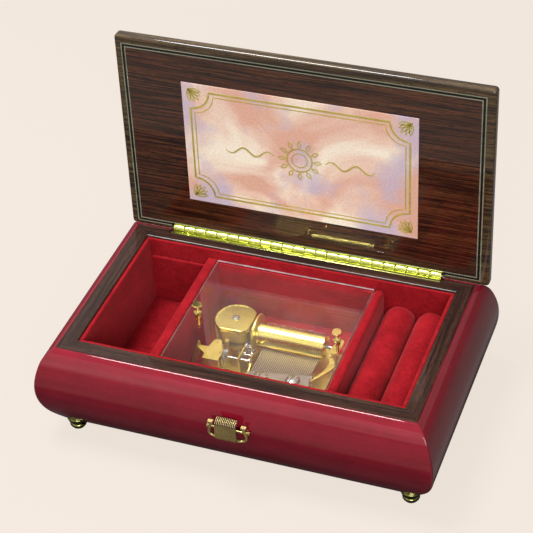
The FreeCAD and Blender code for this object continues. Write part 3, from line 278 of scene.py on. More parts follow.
def joined(name, pieces):
    """Several meshes made into one piece."""
    bm = bmesh.new()
    for piece in pieces:
        bm.from_mesh(piece.data)
    mesh = bpy.data.meshes.new(name)
    bm.to_mesh(mesh)
    bm.free()
    whole = bpy.data.objects.new(name, mesh)
    bpy.context.scene.collection.objects.link(whole)
    whole.location = pieces[0].location
    for piece in pieces:
        bpy.data.objects.remove(piece)
    bpy.context.view_layer.update()
    tidy_normals(whole)
    return whole


def spline(points, per_span=10):
    """A smooth curve through plane points (natural cubic by chord length)."""
    n = len(points)
    t = [0.0]
    for a, b in zip(points, points[1:]):
        t.append(t[-1] + math.dist(a, b))
    h = [t[i + 1] - t[i] for i in range(n - 1)]
    curves = []
    for axis in (0, 1):
        p = [q[axis] for q in points]
        low = [0.0] * n
        diag = [1.0] * n
        right = [0.0] * n
        for i in range(1, n - 1):
            w = h[i - 1] / diag[i - 1] if i > 1 else 0.0
            diag[i] = 2 * (h[i - 1] + h[i]) - w * (h[i - 1] if i > 1 else 0.0)
            rise = 6 * ((p[i + 1] - p[i]) / h[i] - (p[i] - p[i - 1]) / h[i - 1])
            right[i] = rise - w * (right[i - 1] if i > 1 else 0.0)
        for i in range(n - 2, 0, -1):
            low[i] = (right[i] - h[i] * low[i + 1]) / diag[i]
        curves.append((p, low))
    out = []
    for i in range(n - 1):
        for k in range(per_span):
            s = k / per_span * h[i]
            point = []
            for p, m in curves:
                a = (m[i + 1] - m[i]) / (6 * h[i])
                b = m[i] / 2
                c = (p[i + 1] - p[i]) / h[i] - h[i] * (2 * m[i] + m[i + 1]) / 6
                point.append(p[i] + s * (c + s * (b + s * a)))
            out.append(tuple(point))
    out.append(tuple(points[-1]))
    return out


def arc(cx, cy, r, a0, a1, steps):
    """Points on an arc, angles in degrees."""
    out = []
    for i in range(steps + 1):
        a = math.radians(a0 + (a1 - a0) * i / steps)
        out.append((cx + r * math.cos(a), cy + r * math.sin(a)))
    return out


def corner_path(half_length, half_span, u, r, steps=7):
    """One side of a frame in plan, u outside its line, mitre to mitre, its corners rounded by r."""
    x = half_length + u
    y = -half_span - u
    turns = [k * math.pi / 4 / steps for k in range(steps + 1)]
    points = [(x - r + r * math.sin(t), y + r - r * math.cos(t)) for t in turns]
    return [(-px, py) for px, py in points[::-1]] + points


def mitred(name, section, half_length, half_span, turn, corner=None):
    """A frame member from its closed (out, height) section, mitred, then turned to its side."""
    rounds = [corner(u, z) if corner else 0.0 for u, z in section]
    paths = [corner_path(half_length, half_span, u, r) for (u, z), r in zip(section, rounds)]
    rows = len(paths[0])
    verts = [(*path[k], z) for k in range(rows) for path, (u, z) in zip(paths, section)]
    piece = add_piece(name, verts, skin(rows, len(section), flipped=True))
    piece.rotation_euler = (0, 0, math.radians(turn))
    bpy.context.view_layer.update()
    return piece


# Shader helpers


class Nodes:
    """Short ways to add and join the nodes of a tree."""

    def node(self, kind, **values):
        n = self.tree.nodes.new(kind)
        for key, value in values.items():
            setattr(n, key, value)
        return n

    def join(self, a, b):
        self.tree.links.new(a, b)

    def feed(self, source, socket):
        """Joins another node's output, or sets a plain value."""
        if hasattr(source, "is_linked"):
            self.join(source, socket)
        else:
            socket.default_value = source

    def noise(self, vector, scale, detail=3.0, roughness=0.55, distortion=0.0):
        n = self.node("ShaderNodeTexNoise")
        labels = ("Vector", "Scale", "Detail", "Roughness", "Distortion")
        for label, source in zip(labels, (vector, scale, detail, roughness, distortion)):
            self.feed(source, n.inputs[label])
        return n.outputs["Fac"]

    def math(self, kind, *values):
        n = self.node("ShaderNodeMath", operation=kind)
        for source, socket in zip(values, n.inputs):
            self.feed(source, socket)
        return n.outputs[0]

    def vector(self, kind, a, b):
        n = self.node("ShaderNodeVectorMath", operation=kind)
        self.feed(a, n.inputs[0])
        self.feed(b, n.inputs[1])
        return n.outputs[0]

    def split(self, vector):
        n = self.node("ShaderNodeSeparateXYZ")
        self.join(vector, n.inputs[0])
        return n.outputs


class Finish(Nodes):
    """A material under construction."""

    def __init__(self, name):
        self.material = bpy.data.materials.new(name)
        self.material.use_nodes = True
        self.tree = self.material.node_tree
        self.shader = self.tree.nodes["Principled BSDF"]
        self.output = self.tree.nodes["Material Output"]

    def set(self, **values):
        for key, value in values.items():
            self.shader.inputs[key.replace("_", " ")].default_value = value

    def paint(self, colour):
        self.join(colour, self.shader.inputs["Base Color"])

    def here(self):
        return self.node("ShaderNodeTexCoord").outputs["Object"]

    def facing_up(self):
        """How far a face looks up."""
        return self.split(self.node("ShaderNodeNewGeometry").outputs["Normal"])["Z"]

    def effect(self, tree, **values):
        """A shared effect at this place on the piece."""
        n = self.node("ShaderNodeGroup")
        n.node_tree = tree
        for key, value in values.items():
            n.inputs[key.replace("_", " ")].default_value = value
        self.join(self.here(), n.inputs["Vector"])
        return n.outputs

    def ramp(self, source, stops):
        n = self.node("ShaderNodeValToRGB")
        element = n.color_ramp.elements
        while len(element) < len(stops):
            element.new(0.5)
        for e, (at, colour) in zip(element, stops):
            e.position = at
            e.color = (*colour, 1)
        self.join(source, n.inputs["Fac"])
        return n.outputs["Color"]

    def spread(self, source, low, high, start=0.0, end=1.0, clamp=True):
        """Maps start to end onto low to high."""
        n = self.node("ShaderNodeMapRange", clamp=clamp)
        labels = ("From Min", "From Max", "To Min", "To Max")
        for label, value in zip(labels, (start, end, low, high)):
            n.inputs[label].default_value = value
        self.join(source, n.inputs["Value"])
        return n.outputs["Result"]

    def blend(self, fac, a, b, mode="MIX"):
        n = self.node("ShaderNodeMix", data_type="RGBA", blend_type=mode)
        for source, at in ((fac, 0), (a, 6), (b, 7)):
            self.feed((*source, 1) if isinstance(source, tuple) else source, n.inputs[at])
        return n.outputs[2]

    def layer(self, fac, first, second):
        """Mixes two shaders into the material's surface."""
        mix = self.node("ShaderNodeMixShader")
        self.join(fac, mix.inputs[0])
        self.join(first.outputs[0], mix.inputs[1])
        self.join(second.outputs[0], mix.inputs[2])
        self.join(mix.outputs[0], self.output.inputs["Surface"])

    def bump(self, height, strength, distance):
        n = self.node("ShaderNodeBump")
        n.inputs["Strength"].default_value = strength
        n.inputs["Distance"].default_value = distance * MM
        self.join(height, n.inputs["Height"])
        self.join(n.outputs["Normal"], self.shader.inputs["Normal"])


class Effect(Nodes):
    """A node group under construction."""

    def __init__(self, name, inputs, outputs):
        self.tree = bpy.data.node_groups.new(name, "ShaderNodeTree")
        for label, kind, value in inputs:
            socket = self.tree.interface.new_socket(label, in_out="INPUT", socket_type=kind)
            if value is not None:
                socket.default_value = value
        for label in outputs:
            self.tree.interface.new_socket(label, in_out="OUTPUT", socket_type="NodeSocketFloat")
        self.given = self.tree.nodes.new("NodeGroupInput").outputs
        self.result = self.tree.nodes.new("NodeGroupOutput").inputs


def make_wood_grain():
    """Straight grain along local X: broad streaks, fine dark lines and short pores."""
    e = Effect(
        "wood_grain",
        [("Vector", "NodeSocketVector", None), ("Line Scale", "NodeSocketFloat", 700.0)],
        ["Streak", "Lines", "Pores"],
    )
    at = e.given["Vector"]
    sway = e.noise(e.vector("MULTIPLY", at, (9, 40, 40)), 1.0, 2.0)
    lift = e.node("ShaderNodeCombineXYZ")
    e.join(e.math("MULTIPLY", sway, 0.006), lift.inputs["Y"])
    bent = e.vector("ADD", at, lift.outputs[0])
    for label, along, scale, detail, roughness in (
        ("Streak", 0.05, 260.0, 2.0, 0.55),
        ("Lines", 0.02, e.given["Line Scale"], 3.0, 0.6),
        ("Pores", 0.12, 2200.0, 1.0, 0.55),
    ):
        drawn_out = e.vector("MULTIPLY", bent, (along, 1, 1))
        e.join(e.noise(drawn_out, scale, detail, roughness), e.result[label])
    return e.tree


def make_velvet_pile():
    """Brushed patches and fine fibre of a short pile."""
    e = Effect("velvet_pile", [("Vector", "NodeSocketVector", None)], ["Patches", "Fibre"])
    at = e.given["Vector"]
    broad = e.math("MULTIPLY", e.noise(at, 70.0, 3.0, 0.6, 0.6), 0.65)
    small = e.math("MULTIPLY", e.noise(at, 420.0, 2.0), 0.35)
    e.join(e.math("ADD", broad, small), e.result["Patches"])
    e.join(e.noise(at, 1900.0, 2.0), e.result["Fibre"])
    return e.tree


def make_plate_wear():
    """Faint clouding and fine polishing marks on plated and polished metal."""
    e = Effect("plate_wear", [("Vector", "NodeSocketVector", None)], ["Cloud", "Marks"])
    at = e.given["Vector"]
    e.join(e.noise(at, 160.0, 3.0), e.result["Cloud"])
    e.join(e.noise(e.vector("MULTIPLY", at, (1, 1, 0.08)), 1500.0, 2.0), e.result["Marks"])
    return e.tree


wood_grain = make_wood_grain()
velvet_pile = make_velvet_pile()
plate_wear = make_plate_wear()
gloss = {"Coat_Roughness": 0.03, "Coat_IOR": 1.5}


def wooden(name, dark, mid, light, line_scale, coat, roughness=0.4):
    f = Finish(name)
    grain = f.effect(wood_grain, Line_Scale=line_scale)
    base = f.ramp(grain["Streak"], [(0.3, mid), (0.7, light)])
    lines = f.ramp(grain["Lines"], [(0.40, (0, 0, 0)), (0.58, (1, 1, 1))])
    pores = f.ramp(grain["Pores"], [(0.36, (0.35, 0.3, 0.3)), (0.44, (1, 1, 1))])
    f.paint(f.blend(1.0, f.blend(lines, dark, base), pores, "MULTIPLY"))
    f.set(Roughness=roughness, Specular_IOR_Level=0.2, Coat_Weight=coat, **gloss)
    return f.material


def make_lacquer(name, shade_level):
    """Burgundy gloss over figured wood, with painted shade that darkens it towards the foot.

    A shade level below 1 makes it darker all over: painted shade.
    """
    f = Finish(name)
    grain = f.effect(wood_grain, Line_Scale=420.0)
    cloud = f.ramp(grain["Streak"], [(0.25, (0.180, 0.004, 0.012)), (0.75, (0.228, 0.007, 0.020))])
    lines = f.ramp(grain["Lines"], [(0.30, (0.955, 0.95, 0.95)), (0.60, (1, 1, 1))])
    patches = f.effect(velvet_pile)["Patches"]
    soft = f.ramp(patches, [(0.32, (0.84, 0.82, 0.86)), (0.68, (1.08, 1.06, 1.06))])
    clouded = f.blend(1.0, f.blend(1.0, cloud, lines, "MULTIPLY"), soft, "MULTIPLY")
    # Painted shade: the colour darkens towards the foot.
    foot_shade = f.spread(f.split(f.here())["Z"], foot_shade_dark * shade_level, shade_level, *foot_shade_heights)
    f.paint(f.blend(1.0, clouded, foot_shade, "MULTIPLY"))
    f.set(Roughness=0.5, Specular_IOR_Level=0.0, Coat_Weight=1.0, **gloss)
    return f.material


def make_velvet():
    f = Finish("red_velvet")
    pile = f.effect(velvet_pile)
    colour = f.ramp(pile["Patches"], [(0.34, (0.20, 0.004, 0.008)), (0.66, (0.33, 0.009, 0.015))])
    fibre = f.ramp(pile["Fibre"], [(0.35, (0.72, 0.72, 0.72)), (0.65, (1.22, 1.22, 1.22))])
    f.paint(f.blend(1.0, colour, fibre, "MULTIPLY"))
    f.set(Roughness=0.95, Specular_IOR_Level=0.1)
    f.set(Sheen_Weight=0.5, Sheen_Roughness=0.35, Sheen_Tint=(1.0, 0.2, 0.22, 1))
    f.bump(pile["Fibre"], 0.5, 0.25)
    return f.material


def cloud_over(f, low, first, high, second):
    """Lets a finish cloud from one colour to another."""
    wear = f.effect(plate_wear)
    f.paint(f.ramp(wear["Cloud"], [(low, first), (high, second)]))
    return wear


def metal(name, light, dark, roughness, metallic=1.0):
    f = Finish(name)
    wear = cloud_over(f, 0.35, light, 0.7, dark)
    polish = f.spread(wear["Marks"], roughness * 0.75, roughness * 1.35)
    f.join(polish, f.shader.inputs["Roughness"])
    f.set(Metallic=metallic)
    return f.material


def make_comb_steel():
    """Ground steel on top; painted shade darkens each tooth at its edges and makes the slots and
    the faces that don't look up dark.
    """
    f = Finish("comb_steel")
    cloud = f.effect(plate_wear)["Cloud"]
    top = f.ramp(cloud, [(0.35, (0.34, 0.31, 0.27)), (0.7, (0.28, 0.25, 0.22))])
    at = f.split(f.here())
    start, end = (first_tooth_x - tooth_pitch / 2) * MM, (first_tooth_x + tooth_pitch / 2) * MM
    count = f.spread(at["X"], 0.0, 1.0, start, end, clamp=False)
    swing = f.math("PINGPONG", count, 0.5)
    # Painted shade of the slots: each tooth is painted dark at its edges.
    teeth = f.ramp(swing, [(0.26, (0.035, 0.022, 0.014)), (0.36, (0.47, 0.42, 0.36))])
    from_root = f.math("MULTIPLY_ADD", at["X"], -root_slope, at["Y"])
    root, soft = root_at_middle * MM, 0.2 * MM
    on_teeth = f.spread(from_root, 0.0, 1.0, root - soft, root + soft)
    # Painted shade: faces that don't look up are painted near black.
    flat = f.ramp(f.facing_up(), [(0.5, (0, 0, 0)), (0.9, (1, 1, 1))])
    f.paint(f.blend(flat, (0.020, 0.011, 0.004), f.blend(on_teeth, top, teeth)))
    f.set(Metallic=1.0, Roughness=0.36)
    return f.material


def make_grip_bronze():
    """The grip under its wires: olive bronze in front, with painted shade making it dark red-brown
    where it faces up, between the wires.
    """
    f = Finish("grip_bronze")
    cloud = f.effect(plate_wear)["Cloud"]
    front = f.ramp(cloud, [(0.35, (0.26, 0.19, 0.065)), (0.7, (0.20, 0.145, 0.05))])
    # Painted shade between the wires: faces that look up are dark.
    upward = f.ramp(f.facing_up(), [(0.30, (0, 0, 0)), (0.60, (1, 1, 1))])
    f.paint(f.blend(upward, front, (0.030, 0.003, 0.003)))
    f.set(Metallic=0.3, Roughness=0.5)
    return f.material


def make_acrylic():
    """Clear plastic that lets the lamps light what is under it."""
    f = Finish("clear_acrylic")
    f.set(Base_Color=(0.985, 0.99, 0.99, 1), Roughness=0.0, IOR=1.49, Transmission_Weight=1.0)
    f.set(Sheen_Weight=0.015, Sheen_Roughness=0.9, Sheen_Tint=(1.0, 0.95, 0.95, 1))
    through = f.node("ShaderNodeBsdfTransparent")
    through.inputs["Color"].default_value = (0.80, 0.78, 0.78, 1)
    f.layer(f.node("ShaderNodeLightPath").outputs["Is Shadow Ray"], f.shader, through)
    return f.material


def make_sawn_edge():
    """The cover's sawn edges: frosted and uneven."""
    f = Finish("sawn_acrylic_edge")
    cloud_over(f, 0.40, (0.42, 0.36, 0.37), 0.60, (0.66, 0.62, 0.64))
    f.set(Roughness=0.25, Transmission_Weight=0.35)
    return f.material


def make_milky():
    """Unfilled moulded plastic of the worm wheel."""
    f = Finish("milky_plastic")
    cloud_over(f, 0.3, (0.80, 0.79, 0.74), 0.7, (0.70, 0.69, 0.64))
    f.set(Roughness=0.3, Subsurface_Weight=0.4, Transmission_Weight=0.35)
    return f.material


def make_card_paper():
    """Pastel wash printed on card."""
    f = Finish("pastel_card")
    at = f.here()
    warm = f.ramp(
        f.noise(at, 22.0, 4.0, 0.5, 0.8),
        [(0.38, (0.76, 0.43, 0.32)), (0.50, (0.86, 0.62, 0.49)), (0.60, (0.96, 0.86, 0.70))],
    )
    apart = f.vector("ADD", at, (0.31, 0.17, 0.0))
    patches = f.noise(apart, 31.0, 3.0, 0.5)
    cool = f.ramp(patches, [(0.48, (0.0, 0.0, 0.0)), (0.62, (0.9, 0.9, 0.9))])
    washed = f.blend(cool, warm, (0.58, 0.48, 0.60))
    fine = f.noise(at, 900.0, 2.0, 0.5)
    speckle = f.ramp(fine, [(0.3, (0.84, 0.84, 0.84)), (0.7, (1.0, 1.0, 1.0))])
    f.paint(f.blend(1.0, washed, speckle, "MULTIPLY"))
    f.set(Roughness=0.5, Specular_IOR_Level=0.3, Coat_Weight=0.15, Coat_Roughness=0.2)
    return f.material


def make_inlay_lines():
    f = Finish("pale_stringing")
    streak = f.effect(wood_grain, Line_Scale=900.0)["Streak"]
    f.paint(f.ramp(streak, [(0.3, (0.16, 0.165, 0.11)), (0.7, (0.25, 0.255, 0.185))]))
    f.set(Roughness=0.4, Specular_IOR_Level=0.2, Coat_Weight=0.25, **gloss)
    return f.material


lacquer = make_lacquer("burgundy_lacquer", 1.0)
# A shaded copy of the lacquer: painted shade for the right wall.
shaded_lacquer = make_lacquer("shaded_burgundy_lacquer", right_wall_shade)
velvet = make_velvet()
rim_walnut = wooden(
    "rim_walnut", (0.009, 0.002, 0.001), (0.032, 0.011, 0.006), (0.058, 0.023, 0.014), 600.0, 0.7
)
lid_walnut = wooden(
    "lid_walnut", (0.018, 0.009, 0.003), (0.070, 0.040, 0.013), (0.115, 0.070, 0.025), 600.0, 1.0
)
field_wood = wooden(
    "striped_veneer",
    (0.007, 0.0015, 0.0005), (0.050, 0.013, 0.004), (0.105, 0.034, 0.011), 1100.0, 1.0,
)
ebony_line = wooden(
    "dark_line", (0.004, 0.003, 0.002), (0.008, 0.005, 0.004), (0.012, 0.008, 0.006), 900.0, 0.25
)
board = wooden(
    "base_board", (0.10, 0.05, 0.025), (0.20, 0.12, 0.06), (0.27, 0.17, 0.09), 500.0, 0.0, 0.7
)
stringing = make_inlay_lines()
brass = metal("hinge_brass", (0.70, 0.74, 0.23), (0.58, 0.61, 0.17), 0.20)
# Painted shade: the feet's brass is a darker copy, for the dark surroundings the feet mirror.
shaded_foot_brass = metal("shaded_foot_brass", (0.24, 0.24, 0.08), (0.15, 0.15, 0.05), 0.16)
gold = metal("gold_plate", (0.64, 0.49, 0.12), (0.54, 0.40, 0.08), 0.32, 0.78)
bright_gold = metal("bright_gold_plate", (0.96, 0.80, 0.34), (0.86, 0.70, 0.26), 0.12)
satin_gold = metal("satin_gold_plate", (0.92, 0.79, 0.23), (0.88, 0.74, 0.19), 0.22)
bronze = metal("dull_bronze", (0.46, 0.36, 0.14), (0.36, 0.28, 0.10), 0.30, 0.7)
grip_bronze = make_grip_bronze()
gilt = metal("gilt_print", (0.62, 0.54, 0.13), (0.48, 0.40, 0.08), 0.4, 0.45)
steel = metal("ground_steel", (0.60, 0.58, 0.54), (0.46, 0.44, 0.41), 0.24)
comb_steel = make_comb_steel()
acrylic = make_acrylic()
sawn_acrylic = make_sawn_edge()
milky = make_milky()
card_paper = make_card_paper()


def finish_with(piece, material):
    piece.data.materials.clear()
    piece.data.materials.append(material)


def place(piece, body, material, slot, *stands_for):
    finish_with(piece, material)
    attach(piece, body)
    if stands_for:
        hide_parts(*stands_for)
    return piece


def node_bounds(node):
    """A solid's box, from the middle of the case."""
    low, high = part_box(node)
    x0, x1, y0, y1, z0, z1 = (v / MM for pair in zip(low, high) for v in pair)
    return x0, x1, y0 - case_shift, y1 - case_shift, z0, z1


# Case


def wall_section():
    outer = [(u, rim_top - h) for u, h in spline(bulge_outline, 12)]
    inside = -wall_thickness
    return outer + [
        (inside + rebate_width, case_bottom),
        (inside + rebate_width, base_top),
        (inside, base_top),
        (inside, rim_top - rim_thickness),
        (-rim_lip, rim_top - rim_thickness),
        (-rim_lip, rim_top),
    ]


def rail_section():
    inside = -wall_thickness
    r = rim_inner_round
    under = rim_top - rim_thickness
    corner = arc(inside + r, rim_top - r, r, 90, 180, 5)
    return [(-rim_lip, rim_top)] + corner + [(inside, under), (-rim_lip, under)]


def hinge_mortise(y0, y1, z0, z1):
    """A mortise for one leaf of the hinge, with the scoop for the barrel."""
    low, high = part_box("hinge_case_leaf")
    x0, x1 = low[0] / MM - mortise_ends, high[0] / MM + mortise_ends
    leaf = block("mortise", x0, x1, y0, y1, z0, z1)
    section = arc(hinge_y, hinge_z, scoop_r, 0, 360, 36)[:-1]
    verts = [(x, y, z) for x in (x0, x1) for y, z in section]
    scoop = add_piece("scoop", verts, skin(2, len(section)))
    join = leaf.modifiers.new("join", "BOOLEAN")
    join.operation = "UNION"
    join.object = scoop
    bake(leaf)
    bpy.data.objects.remove(scoop)
    return leaf


def case_mortise():
    return hinge_mortise(hinge_y - leaf_reach, hinge_y + 0.2, rim_top - leaf_thickness, rim_top + 2)


def corner_round(u, z):
    """How far a wall's outer corner is rounded: hardly at the rim, more towards the base."""
    if u < -rim_lip - 0.01:
        return 0.0
    return 0.7 + 2.6 * ((rim_top - z) / (rim_top - case_bottom)) ** 1.5


def build_case():
    sides = [
        ("front_wall", half_w, half_d, 0),
        ("right_wall", half_d, half_w, 90),
        ("back_wall", half_w, half_d, 180),
        ("left_wall", half_d, half_w, -90),
    ]
    rails = []
    for name, length, span, turn in sides:
        wall = mitred("lacquered_" + name, wall_section(), length, span, turn, corner_round)
        if name == "back_wall":
            cut_out(wall, case_mortise())
        if name == "front_wall":
            cut_out(wall, switch_slot())
        soften(wall, 0.25, 3, 50)
        # The right wall takes the shaded copy of the lacquer: painted shade.
        coat = shaded_lacquer if name == "right_wall" else lacquer
        place(wall, "case", coat, "lacquered_wood", name)
        rail = mitred("rail_" + name, rail_section(), length, span, turn)
        if name == "back_wall":
            cut_out(rail, case_mortise())
        place(rail, "case", rim_walnut, "walnut_rim")
        rails.append(rail)
    for rail in rails:
        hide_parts("rim_rails")


def switch_slot():
    x0, x1, y0, y1, z0, z1 = node_bounds("switch_stem")
    return block("slot", x0 - 0.4, x1 + 5.4, -half_d - 14, -half_d + 12, z0 - 0.4, z1 + 0.4)


def build_feet():
    """Turned feet: pad, bead, neck and broad ring under the case."""
    bead = [(3.0, 0.0), (3.6, 0.15)] + arc(3.1, 2.15, 1.55, -75, 75, 10)
    neck = [(3.35, 4.0), (3.3, 4.35), (3.5, 4.7)]
    ring = [(4.6, 4.95), (5.2, 5.1)] + arc(5.0, 7.1, 0.85, -60, 80, 8) + [(5.0, 8.3), (5.0, 9.0)]
    x0, x1, y0, y1, z0, z1 = node_bounds("feet")
    x = x1 - foot_inset
    y = y1 - foot_inset
    profile = bead + neck + ring
    for i, (sx, sy) in enumerate(((-1, -1), (1, -1), (1, 1), (-1, 1))):
        foot = turning("brass_foot_%d" % (i + 1), profile, sx * x, sy * y, 72, 60)
        place(foot, "case", shaded_foot_brass, "polished_brass", "feet")


# Lining


def velvet_board(name, bounds, node, edge):
    piece = block(name, *bounds)
    soften(piece, edge, 4, 30)
    return place(piece, "case", velvet, "velvet", node)


def build_lining():
    for node, edge in (
        ("front_lining", 0.8),
        ("back_lining", 0.7),
        ("floor_lining", 0.2),
        ("ledge_pad", 0.9),
        ("left_divider", 1.1),
        ("right_divider", 2.4),
    ):
        piece = velvet_board("velvet_" + node, node_bounds(node), node, edge)
    x0, x1, y0, y1, z0, z1 = node_bounds("side_linings")
    velvet_board("velvet_lining_left", (x0, x0 + lining_side, y0, y1, z0, z1), "side_linings", 0.8)
    velvet_board("velvet_lining_right", (x1 - lining_side, x1, y0, y1, z0, z1), "side_linings", 0.8)
    x0, x1, y0, y1, z0, z1 = node_bounds("cover_cleats")
    velvet_board("velvet_cleat_front", (x0, x1, y0, y0 + cleat_width, z0, z1), "cover_cleats", 0.3)
    velvet_board("velvet_cleat_back", (x0, x1, y1 - cleat_width, y1, z0, z1), "cover_cleats", 0.3)


def roll_outline(centre, width, foot, crown, floor):
    r = width / 2
    spring = crown - r
    top = [(centre + u, v) for u, v in arc(0, spring, r, 180, 0, 28)]
    side = [
        (centre + r - 0.25, spring - 4.0),
        (centre + r - 0.9, spring - 8.0),
        (centre + foot / 2 + 1.2, floor + 6.0),
        (centre + foot / 2, floor),
    ]
    return top + side + [(2 * centre - x, z) for x, z in side[::-1]]


def build_ring_rolls():
    for node in ("ring_roll_left", "ring_roll_right"):
        x0, x1, y0, y1, z0, z1 = node_bounds(node)
        cx = (x0 + x1) / 2
        outline = roll_outline(cx, x1 - x0, roll_foot, z1, z0)
        verts = []
        for k in range(roll_steps + 1):
            s = k / roll_steps
            y = y0 + (y1 - y0) * s
            end = min(s, 1 - s) * (y1 - y0)
            draw = 1.0 - 0.10 * math.exp(-end / 1.6)
            swell = 0.12 * math.sin(9.0 * s + (0 if node.endswith("left") else 2.0))
            for x, z in outline:
                height = (z - z0) / (z1 - z0)
                lift = swell * height - 0.15
                sink = 1 - 0.045 * math.exp(-end / 1.8) * height
                verts.append((cx + (x - cx) * draw, y, z0 + (z - z0) * sink + lift * height))
        faces = skin(roll_steps + 1, len(outline), flipped=True)
        roll = add_piece("velvet_" + node, verts, faces, 60)
        place(roll, "case", velvet, "velvet", node)


# Lid


def open_with_lid(piece):
    """Turns a piece modelled with the lid closed to the stored, open place."""
    pivot = Matrix.Translation(placed(0, hinge_y, hinge_z))
    turn = Matrix.Rotation(math.radians(-lid_angle), 4, "X")
    piece.matrix_world = pivot @ turn @ pivot.inverted() @ piece.matrix_world
    bpy.context.view_layer.update()
    return piece


def rounded_rectangle(x0, x1, y0, y1, r, steps=8):
    points = []
    left, right, front, back = x0 + r, x1 - r, y0 + r, y1 - r
    for cx, cy, a in ((right, front, -90), (right, back, 0), (left, back, 90), (left, front, 180)):
        points += arc(cx, cy, r, a, a + 90, steps)
    return points


def lid_ring(step_in):
    """The lid's outline in plan, drawn in by a step."""
    d = step_in
    corner = max(lid_corner - d, 0.05)
    return rounded_rectangle(lid_left + d, lid_right - d, lid_front + d, lid_back - d, corner)


def lid_slab():
    """The lid's board, its rounded edge built up in rings round a recess for the veneer."""
    top = lid_face + lid_thickness
    front, back = lid_front + inlay_front, lid_back - inlay_back
    inlaid = rounded_rectangle(inlay_left, inlay_right, front, back, 0.05)
    rings = [(inlaid, lid_face + 0.5), (inlaid, lid_face)]
    turns = [math.radians(a) for a in range(0, 91, 15)]
    for t in turns:
        r = lid_inner_round
        rings.append((lid_ring(r * (1 - math.sin(t))), lid_face + r * (1 - math.cos(t))))
    for t in turns:
        r = lid_outer_round
        rings.append((lid_ring(r * (1 - math.cos(t))), top - r * (1 - math.sin(t))))
    verts = [(x, y, z) for points, z in rings for x, y in points]
    return add_piece("lid_board", verts, skin(len(rings), len(inlaid)), 28)


def inlay_bounds(step_in):
    """The stringing's outer line in plan, drawn in by a step."""
    left, right = inlay_left + step_in, inlay_right - step_in
    return left, right, lid_front + inlay_front + step_in, lid_back - inlay_back - step_in


def frame_strip(name, outer_in, width):
    """A flat inlaid frame: outer_in from the stringing's outer line."""
    x0, x1, y0, y1 = inlay_bounds(outer_in)
    w = width
    outer = [(x0, y0), (x1, y0), (x1, y1), (x0, y1)]
    inner = [(x0 + w, y0 + w), (x1 - w, y0 + w), (x1 - w, y1 - w), (x0 + w, y1 - w)]
    heights = (lid_face, lid_face + inlay_thickness)
    verts = [(a, b, z) for z in heights for ring in (outer, inner) for a, b in ring]
    faces = []
    for i in range(4):
        j = (i + 1) % 4
        faces += [
            (i, j, 4 + j, 4 + i),
            (8 + i, 12 + i, 12 + j, 8 + j),
            (i, 8 + i, 8 + j, j),
            (4 + i, 4 + j, 12 + j, 12 + i),
        ]
    return add_piece(name, verts, faces)


def lid_mortise():
    start = hinge_y - lid_leaf_shown
    return hinge_mortise(start, hinge_y + 3.0, lid_face - 1.0, lid_face + leaf_thickness)


def build_lid():
    slab = cut_out(lid_slab(), lid_mortise())
    tidy_normals(slab, 28)
    open_with_lid(slab)
    place(slab, "lid", lid_walnut, "walnut_lid", "lid_panel")
    lines = [
        ("stringing_outer", 0.0, line_width, stringing),
        ("stringing_dark", line_width, inlay_width - 2 * line_width, ebony_line),
        ("stringing_inner", inlay_width - line_width, line_width, stringing),
    ]
    for name, start, width, material in lines:
        strip = cut_out(frame_strip(name, start, width), lid_mortise())
        open_with_lid(strip)
        place(strip, "lid", material, "lid_stringing", "lid_inlay")
    field = block("veneer_field", *inlay_bounds(inlay_width), lid_face, lid_face + inlay_thickness)
    open_with_lid(cut_out(field, lid_mortise()))
    place(field, "lid", field_wood, "lid_field", "lid_veneer")
    build_card()


def build_card():
    w, h = card_size
    cx = card_centre_x
    cy = hinge_y - card_from_hinge - h / 2
    z = lid_face - card_thickness
    card = block("title_card_print", cx - w / 2, cx + w / 2, cy - h / 2, cy + h / 2, z, lid_face)
    soften(card, 0.12, 2)
    open_with_lid(card)
    place(card, "lid", card_paper, "card", "title_card")
    for i, (points, width, closed) in enumerate(card_ornament()):
        line = ribbon("gilt_line_%02d" % (i + 1), points, width, closed, cx, cy)
        open_with_lid(line)
        place(line, "lid", gilt, "card")


def ribbon(name, points, width, closed, cx, cy):
    """A flat gilt line on the card, from points about its middle."""
    verts = []
    n = len(points)
    for i, (x, y) in enumerate(points):
        before = points[i - 1] if closed or i > 0 else points[i]
        after = points[(i + 1) % n] if closed or i < n - 1 else points[i]
        dx, dy = after[0] - before[0], after[1] - before[1]
        size = math.hypot(dx, dy) or 1.0
        taper = 1.0
        if not closed:
            taper = 0.35 + 0.65 * math.sin(math.pi * min(max(i / (n - 1), 0.0), 1.0)) ** 0.6
        nx, ny = -dy / size * width / 2 * taper, dx / size * width / 2 * taper
        for s in (-1, 1):
            for rise in (0.07, -0.01):
                verts.append((cx + x + s * nx, cy - y - s * ny, lid_face - card_thickness - rise))
    faces = []
    for i in range(n if closed else n - 1):
        a, b = 4 * i, 4 * ((i + 1) % n)
        faces += [
            (a, b, b + 2, a + 2),
            (a + 1, a + 3, b + 3, b + 1),
            (a, a + 1, b + 1, b),
            (a + 2, b + 2, b + 3, a + 3),
        ]
    if not closed:
        faces += [(0, 2, 3, 1), (4 * n - 4, 4 * n - 3, 4 * n - 1, 4 * n - 2)]
    return add_piece(name, verts, faces)


def leaf_shape(cx, cy, angle, length, width):
    """A pointed leaf outline from its stalk end."""
    c, d = math.cos(math.radians(angle)), math.sin(math.radians(angle))
    outline = [(0, 0), (0.25, 0.7), (0.5, 1), (0.78, 0.6), (1, 0)]
    outline += [(t, -v) for t, v in outline[3:0:-1]]
    points = []
    for t, v in outline:
        a, b = t * length, v * width / 2
        points.append((cx + a * c - b * d, cy + a * d + b * c))
    return points


